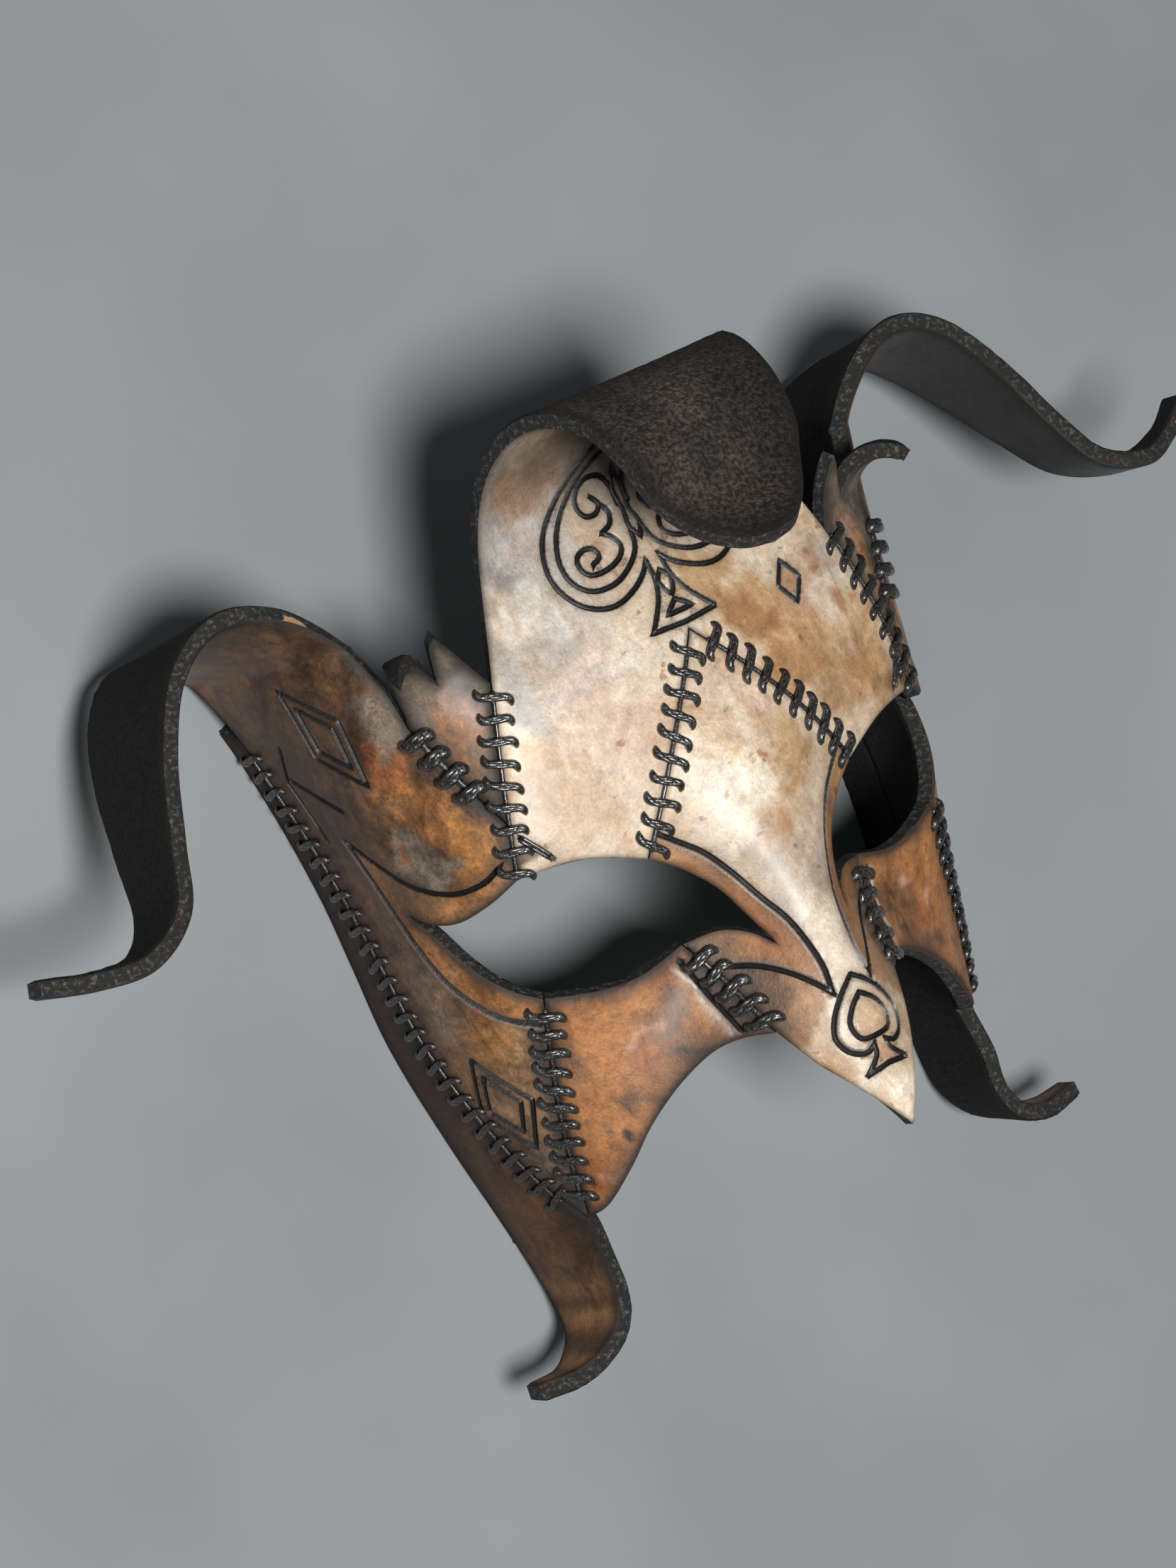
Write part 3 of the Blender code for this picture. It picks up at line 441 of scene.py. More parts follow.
def dye_at(uv, ground, patches):
    """Dye colours at flat places: a ground, and patches laid over it one by one."""
    bleed = sum(np.stack([waves(uv, size, one), waves(uv, size, two)], 1) * reach
                for size, one, two, reach in BLEEDS)
    spread = uv + bleed
    colour = np.tile(DYES[ground], (len(uv), 1))
    for patch in patches:
        if len(patch) == 3:
            outline, dye, strength = patch
            share = strength * inside(uv, outline)
        elif len(patch) == 4:
            line, reach, dye, strength = patch
            share = strength * np.exp(-(nearest(uv + BAND_BLEED * bleed, [line]) / reach)**2)
        else:
            pu, pv, ru, rv, dye, strength, *crisp = patch
            share = np.exp(-((spread[:, 0] - pu) / ru)**2 - ((spread[:, 1] - pv) / rv)**2)
            if crisp:
                share = np.clip((share - CRISP_LEVEL) * crisp[0] + 0.5, 0, 1)
            share = strength * share
        colour = colour * (1 - share[:, None]) + np.array(DYES[dye]) * share[:, None]
    return colour


def on_side(side, patches):
    """Patches with their spots moved to one side; bands and regions are on it already."""
    return [(side * p[0], *p[1:]) if len(p) > 4 else p for p in patches]


# %% Cut, carve and bend a panel
class Piece:
    """The vertices, faces and vertex numbers of one piece of leather, in millimetres."""

    def __init__(self):
        self.points, self.faces, self.kinds = [], [], []
        self.dye, self.marks = [], []
        self.count = 0

    def add(self, points, dye, marks):
        """Add points with their dye and their marks: groove, soot, rim and bevel."""
        start = self.count
        self.points.append(points)
        self.dye.append(dye)
        self.marks.append(marks)
        self.count += len(points)
        return start

    def face(self, corners, kind):
        """Add a face that belongs to the grain side, the cut edge or the flesh side."""
        self.faces.append(corners)
        self.kinds.append(kind)


def hex_fill(outline, keep_off):
    """Fill points on a hexagon grid, clear of the outline and of the tooled lines."""
    low, high = np.min(outline, axis=0), np.max(outline, axis=0)
    rows = np.arange(low[1] + FILL_STEP / 2, high[1], FILL_STEP * HEXAGON_ROW)
    columns = np.arange(low[0], high[0], FILL_STEP)
    grid = np.array([(u + (FILL_STEP / 2 if k % 2 else 0), v)
                     for k, v in enumerate(rows) for u in columns])
    grid = grid[inside(grid, outline)]
    ring = list(outline) + [outline[0]]
    grid = grid[nearest(grid, [ring]) > EDGE_ROUND + FILL_STEP * EDGE_CLEARANCE]
    if keep_off:
        grid = grid[nearest(grid, keep_off) > GROOVE_RAILS[-1] + FILL_STEP * GROOVE_CLEARANCE]
    return grid


def cut_sheet(outline, tooled, centres):
    """Flat places, triangles between them, and which places lie on the outline."""
    coords = [tuple(p) for p in outline]
    edges = [(i, (i + 1) % len(outline)) for i in range(len(outline))]
    rails = [(beside(outline, EDGE_ROUND, True), True)]
    for line, closed, bevel in tooled:
        rails += [(beside(line, off * bevel, closed), closed) for off in BEVEL_RAILS if bevel]
        for off in GROOVE_RAILS:
            for sign in ((1, -1) if off else (1,)):
                rails.append((beside(line, sign * off, closed) if off else np.array(line), closed))
    for line, closed in rails:
        start = len(coords)
        keep = inside(line, outline)
        coords += [tuple(p) for p in line]
        for i in range(len(line) if closed else len(line) - 1):
            j = (i + 1) % len(line)
            if keep[i] and keep[j]:
                edges.append((start + i, start + j))
    coords += [tuple(p) for p in hex_fill(outline, centres)]
    result = delaunay_2d_cdt([Vector(c) for c in coords], edges, [], 0, 1e-4, True)
    flat, tris = np.array([tuple(p) for p in result[0]]), np.array(result[2])
    tris = tris[inside(flat[tris].mean(1), outline)]
    used = np.unique(tris)
    lookup = np.full(len(flat), -1)
    lookup[used] = np.arange(len(used))
    on_outline = np.array([any(o < len(outline) for o in result[3][k]) for k in used])
    return flat[used], lookup[tris], on_outline


def run_along(root, flat, on_outline):
    """The vertices of the outline that follow a strap's root, in its order."""
    rim = np.flatnonzero(on_outline)
    tree = KDTree(len(rim))
    for k in rim:
        tree.insert((flat[k, 0], flat[k, 1], 0), k)
    tree.balance()
    run = []
    for p in root:
        k = tree.find((p[0], p[1], 0))[1]
        if not run or run[-1] != k:
            run.append(k)
    return run


def panel(outline, tooled=(), ground="cream", patches=(), lift=None, root=None,
          back_dye="nap_black", back_patches=()):
    """A closed panel; root is the run of its outline where a strap grows on."""
    if not turns_left(outline):
        outline = outline[::-1]
    outline = list(beside(outline, SEAM_ALLOWANCE, True))
    centres = [list(line) + [line[0]] if closed else list(line) for line, closed, _ in tooled]
    slopes = [list(beside(line, BEVEL_RAILS[0] * bevel)) for line, _, bevel in tooled if bevel]
    flat, tris, on_outline = cut_sheet(outline, tooled, centres)
    base, normal = form(flat), form_normals(flat)
    if lift:
        base, normal = lift(flat, base, normal)
    ring = outline + [outline[0]]
    free = [ring]
    if root is not None:
        root = np.array(root)
        far = [min(np.linalg.norm(root - p, axis=1)) > ROOT_REACH for p in ring]
        start = next(k for k in range(len(far) - 1) if not far[k - 1] and far[k])
        free = [(ring[:-1] * 2)[start:start + sum(far[:-1])]]
    near_tool = nearest(flat, centres)
    near_edge = nearest(flat, free)
    depth = np.interp(near_tool, *zip(*GROOVE_PROFILE))
    depth = np.where(near_edge < EDGE_ROUND, np.maximum(depth, 0), depth)
    rounding = EDGE_DROP * np.clip(1 - near_edge / EDGE_ROUND, 0, 1)**2
    outer = base - normal * (depth + rounding)[:, None]
    fluff = NAP * waves(flat, NAP_SIZE, 2.2) * np.clip(near_edge / EDGE_ROUND, 0, 1)
    inner = base - normal * (THICKNESS - rounding + fluff)[:, None]
    groove = np.clip(1 - near_tool / GROOVE_REACH, 0, 1)
    soot = np.exp(-(near_tool / SOOT_REACH)**2)
    rim = np.exp(-near_edge / RIM_REACH)
    bevel = np.clip(1 - nearest(flat, slopes) / BEVEL_REACH, 0, 1)
    none = np.zeros(len(flat))
    dye, back = dye_at(flat, ground, patches), dye_at(flat, back_dye, back_patches)
    piece = Piece()
    top = piece.add(outer, dye, np.stack([groove, soot, rim, bevel], 1))
    low = piece.add(inner, back, np.stack([none, none, rim, none], 1))
    for a, b, c in tris:
        piece.face((top + a, top + b, top + c), GRAIN)
        piece.face((low + c, low + b, low + a), FLESH)
    follow = dict.fromkeys((p, q) for a, b, c in tris for p, q in ((a, b), (b, c), (c, a)))
    border = [(p, q) for p, q in follow if (q, p) not in follow]
    skipped, strap_root = set(), None
    if root is not None:
        run = run_along(root, flat, on_outline)
        skipped = set(zip(run, run[1:])) | set(zip(run[1:], run))
        strap_root = (run, top, low)
    side_way = base - base.mean(0)
    side_way -= normal * (side_way * normal).sum(1, keepdims=True)
    side_way /= np.linalg.norm(side_way, axis=1, keepdims=True)
    walls = {}

    def wall(k):
        """The vertices down the cut edge at one place, made once and shared by its faces."""
        if k not in walls:
            column = [top + k]
            for t in WALL_LEVELS:
                fray = NAP * field.noise(Vector((flat[k, 0], flat[k, 1], 4 * t)))
                point = outer[k] * (1 - t) + inner[k] * t + fray * side_way[k]
                column.append(piece.add(point[None], dye[k][None], np.array([[0, 0, rim[k], 0]])))
            walls[k] = column + [low + k]
        return walls[k]

    for p, q in border:
        if (p, q) not in skipped:
            one, two = wall(p), wall(q)
            for k in range(len(WALL_LEVELS) + 1):
                piece.face((one[k + 1], two[k + 1], two[k], one[k]), CUT_EDGE)
    return piece, strap_root


# %% [markdown]
# ## Straps
# The horns and tails are not sewn on: they are long tongues of the same leather, bent while
# wet and left to dry in a curl. Each is lofted from the run of vertices where it leaves its
# panel, along the two edges of the strap, so the surface runs on without a seam. The spans say
# over how many of the given edge points the panel's shape, its thickness, its direction and its
# dye pass into the strap's own.

# %% Horn and tail edges, in millimetres from the brow
HORN_UPPER = [(68, 67.5, -10), (79.5, 71.3, -11), (90, 66, -11), (98, 54, -10), (104, 40, -8),
              (109, 29.8, -5.5), (118.5, 25, -4), (128, 26.2, -7), (137, 29.5, -10)]
HORN_LOWER = [(82, 66.5, -47), (89.5, 66.5, -45), (96, 60, -42), (101, 51, -37), (105.5, 40, -30),
              (110, 30, -22.5), (118.5, 25, -14), (128, 26.2, -12.5), (137, 29.5, -16)]
TAIL_UPPER = [(48, -67.5, -29), (47.3, -74.5, -30), (49.3, -79.8, -31), (53.3, -83.3, -32.5),
              (59.5, -85.2, -34), (68, -84.5, -36)]
TAIL_LOWER = [(50, -68.5, -54.5), (49.2, -75, -52.5), (50.8, -79.8, -49.5), (54.8, -83, -46),
              (60.5, -85, -42.5), (68, -84.5, -40.8)]
HORN_LEFT_TIP_DROP = 3.0
HORN_RIGHT_TIP_LIFT = 5.0
ROWS_PER_POINT = 10
SAG_SPAN = 2.5
SETTLE_SPAN = 2.0
TURN_SPAN = 1.0
DYE_SPAN = 2.4
STREAK_SIZE = 5
STREAK_DEPTH = 1.1


def fine_rows(line, before):
    """A fixed number of places between the given points of a line that comes from before."""
    ends = [before] + list(line) + [2 * line[-1] - line[-2]]
    fine = []
    for a, b, c, d in zip(ends, ends[1:], ends[2:], ends[3:]):
        fine += [between(a, b, c, d, k / ROWS_PER_POINT) for k in range(ROWS_PER_POINT)]
    return fine + [np.array(line[-1])]


def fade_in(count, span):
    """Shares that grow from 0 to 1 over a span of edge points, one for each row."""
    return np.clip(np.arange(count) / (span * ROWS_PER_POINT), 0, 1)[:, None, None]


def unit(vectors):
    """The same directions with length 1."""
    return vectors / np.linalg.norm(vectors, axis=-1, keepdims=True)


def grow_strap(piece, strap_root, upper, lower, dyes, before, back_dye="nap_black"):
    """Grow a strap on a panel. dyes are the colours at its root and its tip, and before holds the
    flat places on the panel that its two edges come from, so that they run on without a kink."""
    run, top, low = strap_root
    points = np.vstack(piece.points)
    outer_root = points[[top + k for k in run]]
    inner_root = points[[low + k for k in run]]
    panel_points = form(np.array(before))
    tops = fine_rows([outer_root[0]] + [np.array(p, float) for p in upper], panel_points[0])
    lows = fine_rows([outer_root[-1]] + [np.array(p, float) for p in lower], panel_points[1])
    widths = np.linalg.norm(np.diff(outer_root, axis=0), axis=1)
    shares = np.concatenate([[0], np.cumsum(widths)]) / widths.sum()
    sag = outer_root - (outer_root[0] + shares[:, None] * (outer_root[-1] - outer_root[0]))
    grid = [outer_root]
    for k in range(1, len(tops)):
        fade = min(1.0, k / (SAG_SPAN * ROWS_PER_POINT))
        fade = 1 - fade * fade * (3 - 2 * fade)
        grid.append(tops[k] + shares[:, None] * (lows[k] - tops[k]) + sag * fade)
    grid = np.array(grid)
    rows, count = grid.shape[:2]
    last = rows - 1
    normal = unit(np.cross(np.gradient(grid, axis=0), np.gradient(grid, axis=1)))
    if float((normal[3] * (outer_root - inner_root)).sum()) < 0:
        normal = -normal
    turn_in = fade_in(rows, TURN_SPAN)
    normal = unit(normal * turn_in + unit(outer_root - inner_root)[None] * (1 - turn_in))
    middle = grid + normal * (THICKNESS / 2) * fade_in(rows, SETTLE_SPAN)
    span = np.linalg.norm(grid[:, -1] - grid[:, 0], axis=1)[:, None]
    from_edge = np.minimum(shares, 1 - shares)[None] * span
    from_edge = np.minimum(from_edge, np.linalg.norm(grid - grid[last][None], axis=2))
    rounding = EDGE_DROP * np.clip(1 - from_edge / EDGE_ROUND, 0, 1)**2
    front = middle - normal * rounding[..., None]
    back = middle - normal * (THICKNESS - rounding)[..., None]
    t = (np.arange(rows) / last)[:, None, None]
    dye = np.array(DYES[dyes[0]]) * (1 - t) + np.array(DYES[dyes[1]]) * t
    streaks = waves(grid.reshape(-1, 3) + 200, STREAK_SIZE, 1.7).reshape(grid.shape[:2])[..., None]
    dye = dye * np.clip(1 + STREAK_DEPTH * streaks, 0.4, 1.9)
    own_dye = fade_in(rows, DYE_SPAN)
    root_dye = np.vstack(piece.dye)[[top + k for k in run]][None]
    dye = dye * own_dye + root_dye * (1 - own_dye)
    rim = np.exp(-from_edge / RIM_REACH)[1:].ravel()
    none = np.zeros(rim.size)
    marks = np.stack([none, none, rim, none], 1)
    fluff = NAP * waves(back.reshape(-1, 3) + 300, NAP_SIZE, 6.1).reshape(back.shape[:2])
    back = back - normal * (fluff * np.clip(from_edge / EDGE_ROUND, 0, 1))[..., None]
    f = piece.add(front[1:].reshape(-1, 3), dye[1:].reshape(-1, 3), marks)
    b = piece.add(back[1:].reshape(-1, 3), np.tile(DYES[back_dye], (none.size, 1)), marks)
    steps = np.arange(last * count).reshape(last, count)
    fronts = np.vstack([[top + k for k in run], f + steps])
    backs = np.vstack([[low + k for k in run], b + steps])
    for i in range(last):
        for j in range(count - 1):
            piece.face((fronts[i, j], fronts[i, j + 1], fronts[i + 1, j + 1], fronts[i + 1, j]), GRAIN)
            piece.face((backs[i, j], backs[i + 1, j], backs[i + 1, j + 1], backs[i, j + 1]), FLESH)
        for j in (0, count - 1):
            piece.face((fronts[i, j], fronts[i + 1, j], backs[i + 1, j], backs[i, j]), CUT_EDGE)
    for j in range(count - 1):
        piece.face((fronts[last, j], fronts[last, j + 1], backs[last, j + 1], backs[last, j]), CUT_EDGE)


def strap_points(points, side, tip_rise=0.0):
    """Strap edge points on one side, with the tip turned up or down the face."""
    last = len(points) - 1
    return [(side * x, y + tip_rise * (k / last)**2, z) for k, (x, y, z) in enumerate(points)]


# %% [markdown]
# ## From numbers to pieces
# The arrays become a mesh, doubled vertices are merged, the normals are made to point out of
# the leather, and the piece takes the place of its solid. The form's middle is not the middle
# of the mask's box, so the first panel measures how far its solid was moved, and the same
# move is used for all. At a few places on the cut edges, each given by its centre and radius,
# the burnish is worn through to raw hide.

# %% Make an object of a piece
place = {"shift": None}
RAW_SPOTS = [(-66.5, 65.5, -9, 3.4), (-61.5, 60, -7.5, 2.2), (-56, 49, -6, 2.2), (47, 52, 4, 3.2),
             (-48, -77, -31, 1.8), (131, 31, -9, 2.0), (-97, 56, -10, 1.5)]
MARKS = ("groove", "soot", "rim", "bevel", "raw")
LEATHER_MERGE, THREAD_MERGE = 2e-6, 1e-6
CREASE_ANGLE = 50


def select_only(shape):
    """Select one object and make it the active one, on which Blender's tools work."""
    bpy.ops.object.select_all(action="DESELECT")
    shape.select_set(True)
    bpy.context.view_layer.objects.active = shape


def merge_and_turn_out(gap):
    """Merge the active mesh's vertices closer than a gap and point its normals outward."""
    bpy.ops.object.mode_set(mode="EDIT")
    bpy.ops.mesh.select_all(action="SELECT")
    bpy.ops.mesh.remove_doubles(threshold=gap)
    bpy.ops.mesh.normals_make_consistent(inside=False)
    bpy.ops.object.mode_set(mode="OBJECT")


def stand_in(shape, name):
    """Put an object in the place of a solid and on its body."""
    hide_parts(name)
    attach(shape, "root")


def make_piece(name, piece, finishes):
    """A closed object of the piece, in metres, in place of its solid."""
    points = np.vstack(piece.points)
    worn = [np.exp(-((points - spot[:3])**2).sum(1) / spot[3]**2) for spot in RAW_SPOTS]
    marks = np.hstack([np.vstack(piece.marks), np.max(worn, 0)[:, None]])
    if place["shift"] is None:
        low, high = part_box("nose_panel")
        solid = (np.array(low) + np.array(high)) / 2 / MM
        place["shift"] = solid - (points.min(0) + points.max(0)) / 2
        place["shift"][2] = -FLOOR
        print("the solids are moved by", np.round(place["shift"], 3), "mm")
    points = (points + place["shift"]) * MM
    mesh = bpy.data.meshes.new(name + "_leather")
    mesh.from_pydata(points.tolist(), [], [tuple(int(k) for k in f) for f in piece.faces])
    for finish in finishes:
        mesh.materials.append(finish)
    mesh.polygons.foreach_set("material_index", np.array(piece.kinds, np.int32))
    colour = mesh.attributes.new("dye", "FLOAT_COLOR", "POINT")
    rgba = np.hstack([np.vstack(piece.dye), np.ones((piece.count, 1))])
    colour.data.foreach_set("color", rgba.astype(np.float32).ravel())
    for k, word in enumerate(MARKS):
        layer = mesh.attributes.new(word, "FLOAT", "POINT")
        layer.data.foreach_set("value", marks[:, k].astype(np.float32))
    shape = bpy.data.objects.new(name + "_leather", mesh)
    bpy.context.scene.collection.objects.link(shape)
    select_only(shape)
    merge_and_turn_out(LEATHER_MERGE)
    bpy.ops.object.shade_smooth_by_angle(angle=math.radians(CREASE_ANGLE))
    stand_in(shape, name)
    print(name, len(mesh.polygons), "faces")


# %% [markdown]
# ## Leather finishes
# Hand-dyed leather is never one colour: dye pools in the grain, edges are burnished nearly
# black, and the maker rubs soot into every carved line. The dyes are laid at the vertices, and
# the material breaks them up with noise at several sizes, darkens them by the groove, soot and
# rim marks, adds a painted grey sheen on bevelled slopes, and gives the grain its pores. The
# pattern follows Object coordinates, which are metres here, so a noise of scale 50 has spots
# about 20 mm wide. Each noise below is a scale, a detail, a roughness, a distortion and a
# stretch, as far as it needs them.


# %% Small helpers for node materials
GRAIN_TURN = 35


def new_finish(name):
    """A new material, its node tree and its shader."""
    material = bpy.data.materials.new(name)
    material.use_nodes = True
    tree = material.node_tree
    return material, tree, tree.nodes["Principled BSDF"]


def attribute(tree, name, output="Fac"):
    """What the vertices carry under a name."""
    node = tree.nodes.new("ShaderNodeAttribute")
    node.attribute_name = name
    return node.outputs[output]


def noise(tree, scale, detail=4.0, rough=0.55, distortion=0.0, stretch=None):
    """Noise in Object coordinates, drawn out along the axes that stretch makes small."""
    where = tree.nodes.new("ShaderNodeTexCoord")
    node = tree.nodes.new("ShaderNodeTexNoise")
    node.inputs["Scale"].default_value = scale
    node.inputs["Detail"].default_value = detail
    node.inputs["Roughness"].default_value = rough
    node.inputs["Distortion"].default_value = distortion
    if stretch:
        mapping = tree.nodes.new("ShaderNodeMapping")
        mapping.inputs["Rotation"].default_value = (0, 0, math.radians(GRAIN_TURN))
        mapping.inputs["Scale"].default_value = stretch
        tree.links.new(where.outputs["Object"], mapping.inputs["Vector"])
        tree.links.new(mapping.outputs["Vector"], node.inputs["Vector"])
    else:
        tree.links.new(where.outputs["Object"], node.inputs["Vector"])
    return node.outputs["Fac"]


def ramp(tree, value, low, high, start=0.0, end=1.0):
    """Read a value from low..high as start..end, clamped."""
    node = tree.nodes.new("ShaderNodeMapRange")
    node.inputs["From Min"].default_value = low
    node.inputs["From Max"].default_value = high
    node.inputs["To Min"].default_value = start
    node.inputs["To Max"].default_value = end
    tree.links.new(value, node.inputs["Value"])
    return node.outputs["Result"]


def maths(tree, kind, a, b):
    """One sum on two sockets or numbers."""
    node = tree.nodes.new("ShaderNodeMath")
    node.operation = kind
    for k, value in enumerate((a, b)):
        if isinstance(value, (int, float)):
            node.inputs[k].default_value = value
        else:
            tree.links.new(value, node.inputs[k])
    return node.outputs["Value"]


def mix(tree, share, a, b, kind="MIX"):
    """Two colours mixed by a share; each may be a socket, a colour or a number."""
    node = tree.nodes.new("ShaderNodeMix")
    node.data_type = "RGBA"
    node.blend_type = kind
    for word, socket_type, value in (("Factor", "VALUE", share), ("A", "RGBA", a), ("B", "RGBA", b)):
        target = next(s for s in node.inputs if s.name == word and s.type == socket_type)
        if isinstance(value, (int, float)):
            target.default_value = value
        elif isinstance(value, tuple):
            target.default_value = (*value, 1)
        else:
            tree.links.new(value, target)
    return next(s for s in node.outputs if s.type == "RGBA")


def uneven(tree, value, speckle, reach):
    """A value that a noise makes larger and smaller by up to half its reach."""
    swing = maths(tree, "SUBTRACT", speckle, 0.5)
    return maths(tree, "ADD", value, maths(tree, "MULTIPLY", swing, reach))


def relief(tree, shader, layers):
    """Bump from several (height, distance in metres, strength) layers."""
    previous = None
    for height, distance, strength in layers:
        node = tree.nodes.new("ShaderNodeBump")
        node.inputs["Distance"].default_value = distance
        node.inputs["Strength"].default_value = strength
        tree.links.new(height, node.inputs["Height"])
        if previous:
            tree.links.new(previous, node.inputs["Normal"])
        previous = node.outputs["Normal"]
    tree.links.new(previous, shader.inputs["Normal"])


# %% The grain side
BROAD = (60, 6, 0.62, 0.8)
OTHER = (130, 8, 0.7, 1.2)
WIPED = (150, 7, 0.7, 0.3, (1.0, 0.22, 1.0))
POOLED = (260, 8, 0.75, 0.6)
FINE = (420, 7, 0.7)
PORES = (1700, 3, 0.6)
FLECKS = (300, 3, 0.5)
FLECK_TINT = (0.62, 0.42, 0.32)
# Grey painted on bevelled slopes as a painted sheen.
BEVEL_SHEEN_GREY = (0.17, 0.165, 0.16)
GROOVE_BLACK = (0.008, 0.007, 0.007)
WAX_ROUGHNESS = 0.28


def grain_finish(name, deep, light, blotch, tone, gloss, burn, shine):
    """Dyed grain. deep and light are tints of the dye that blotch mixes in, tone is the swing
    of the fine mottle, gloss is the roughness, burn is how little the dark edge reaches in, and
    shine is how much wax was rubbed in."""
    material, tree, shader = new_finish(name)
    dye = attribute(tree, "dye", "Color")
    groove, soot, rim, bevel = (attribute(tree, word) for word in MARKS[:4])
    broad, other, wiped, pooled, fine, pores, flecks = (
        noise(tree, *sizes) for sizes in (BROAD, OTHER, WIPED, POOLED, FINE, PORES, FLECKS))
    colour = dye
    for speckle, low, high, start, end, tint in (
            (broad, 0.50, 0.66, 0, blotch, deep), (other, 0.52, 0.64, 0, blotch, light),
            (wiped, 0.54, 0.64, 0, blotch * 0.7, deep), (pooled, 0.54, 0.60, 0, tone, deep),
            (pooled, 0.38, 0.46, tone * 1.2, 0, light)):
        colour = mix(tree, ramp(tree, speckle, low, high, start, end), colour, tint, "MULTIPLY")
    swing = maths(tree, "MULTIPLY", ramp(tree, fine, 0.32, 0.68, 1 - tone, 1 + tone * 0.6),
                  ramp(tree, pores, 0.35, 0.65, 1 - tone * 0.45, 1 + tone * 0.25))
    colour = mix(tree, 1.0, colour, swing, "MULTIPLY")
    colour = mix(tree, ramp(tree, flecks, 0.68, 0.72, 0, blotch), colour, FLECK_TINT, "MULTIPLY")
    # Bevelled slopes are painted grey, mottled by the fine noise: a painted sheen for the glint along
    # the tool's smooth band.
    painted_sheen = maths(tree, "MULTIPLY", ramp(tree, bevel, 0.1, 0.5),
                   ramp(tree, fine, 0.40, 0.60, 0.2, 0.85))
    colour = mix(tree, painted_sheen, colour, BEVEL_SHEEN_GREY)
    scorched = ramp(tree, uneven(tree, rim, fine, 0.7), burn, burn + 0.6, 0, 0.9)
    colour = mix(tree, scorched, colour, DYES["char"])
    smudge = maths(tree, "MULTIPLY", soot, ramp(tree, fine, 0.38, 0.66, 0.0, 0.6))
    colour = mix(tree, smudge, colour, DYES["umber"])
    carved = ramp(tree, uneven(tree, groove, pores, 0.4), 0.14, 0.32)
    colour = mix(tree, carved, colour, GROOVE_BLACK)
    tree.links.new(colour, shader.inputs["Base Color"])
    rough = ramp(tree, fine, 0.3, 0.7, gloss - 0.08, gloss + 0.12)
    for mark, more in ((groove, 0.05), (bevel, -0.18), (rim, 0.3)):
        rough = maths(tree, "ADD", rough, maths(tree, "MULTIPLY", mark, more))
    tree.links.new(rough, shader.inputs["Roughness"])
    shader.inputs["Specular IOR Level"].default_value = shine
    tree.links.new(ramp(tree, rim, 0.05, 0.5, shine * 0.4, 0), shader.inputs["Coat Weight"])
    shader.inputs["Coat Roughness"].default_value = WAX_ROUGHNESS
    relief(tree, shader, ((broad, 0.0006, 0.4), (pooled, 0.0004, 0.5), (fine, 0.00034, 0.6),
                          (pores, 0.00012, 0.7)))
    return material


# %% The cut edge and the flesh side
EDGE_FIBRES = (1000, 5, 0.75)
EDGE_WEAR = (420, 4, 0.6)
EDGE_BLACK, EDGE_GREY = (0.018, 0.017, 0.016), (0.13, 0.12, 0.11)
RAW_HIDE = (0.62, 0.33, 0.17)
SUEDE_BROAD = (70, 5, 0.6, 0.6)
SUEDE_NAP = (1200, 4, 0.7)
SUEDE_BLACK = (0.014, 0.013, 0.012)


def cut_edge_finish():
    """The burnished edge: charcoal and fibrous, with raw hide showing in a few places."""
    material, tree, shader = new_finish("burnished_edge")
    fine = noise(tree, *EDGE_FIBRES)
    colour = mix(tree, ramp(tree, fine, 0.52, 0.68), EDGE_BLACK, EDGE_GREY)
    wear = maths(tree, "MULTIPLY", noise(tree, *EDGE_WEAR), 0.8)
    patchy = maths(tree, "ADD", attribute(tree, "raw"), wear)
    colour = mix(tree, ramp(tree, patchy, 0.95, 1.0, 0, 0.9), colour, RAW_HIDE)
    tree.links.new(colour, shader.inputs["Base Color"])
    shader.inputs["Roughness"].default_value = 0.6
    shader.inputs["Specular IOR Level"].default_value = 0.3
    relief(tree, shader, ((fine, 0.0006, 1.0),))
    return material


def suede_finish():
    """The flesh side: napped, its dye black at the edges and brown where it is worn."""
    material, tree, shader = new_finish("suede_back")
    dye = attribute(tree, "dye", "Color")
    broad, nap = noise(tree, *SUEDE_BROAD), noise(tree, *SUEDE_NAP)
    colour = mix(tree, ramp(tree, broad, 0.46, 0.62, 0, 0.6), dye, SUEDE_BLACK)
    colour = mix(tree, 1.0, colour, ramp(tree, nap, 0.42, 0.66, 0.45, 2.1), "MULTIPLY")
    colour = mix(tree, ramp(tree, attribute(tree, "rim"), 0.02, 0.5, 0, 0.75), colour, SUEDE_BLACK)
    tree.links.new(colour, shader.inputs["Base Color"])
    shader.inputs["Roughness"].default_value = 0.8
    shader.inputs["Specular IOR Level"].default_value = 0.2
    relief(tree, shader, ((broad, 0.0010, 0.4), (nap, 0.0014, 1.0)))
    return material


edge_black = cut_edge_finish()
suede = suede_finish()
GRAINS = {
    "bleached": ((0.76, 0.60, 0.43), (1.16, 1.18, 1.24), 0.85, 0.30, 0.37, 0.50, 0.60),
    "browned": ((0.28, 0.24, 0.23), (1.55, 1.40, 1.35), 0.85, 0.46, 0.40, 0.15, 0.40),
    "coppered": ((0.42, 0.34, 0.31), (1.25, 1.22, 1.15), 0.80, 0.38, 0.40, 0.10, 0.40),
    "greyed": ((0.38, 0.35, 0.35), (1.25, 1.18, 1.12), 0.85, 0.42, 0.50, 0.15, 0.30),
    "darkened": ((0.42, 0.36, 0.34), (1.35, 1.22, 1.12), 0.75, 0.40, 0.48, 0.10, 0.20),
}
finishes = {word: (grain_finish(word + "_grain", *look), edge_black, suede)
            for word, look in GRAINS.items()}
print("finishes:", [m.name for m in bpy.data.materials])
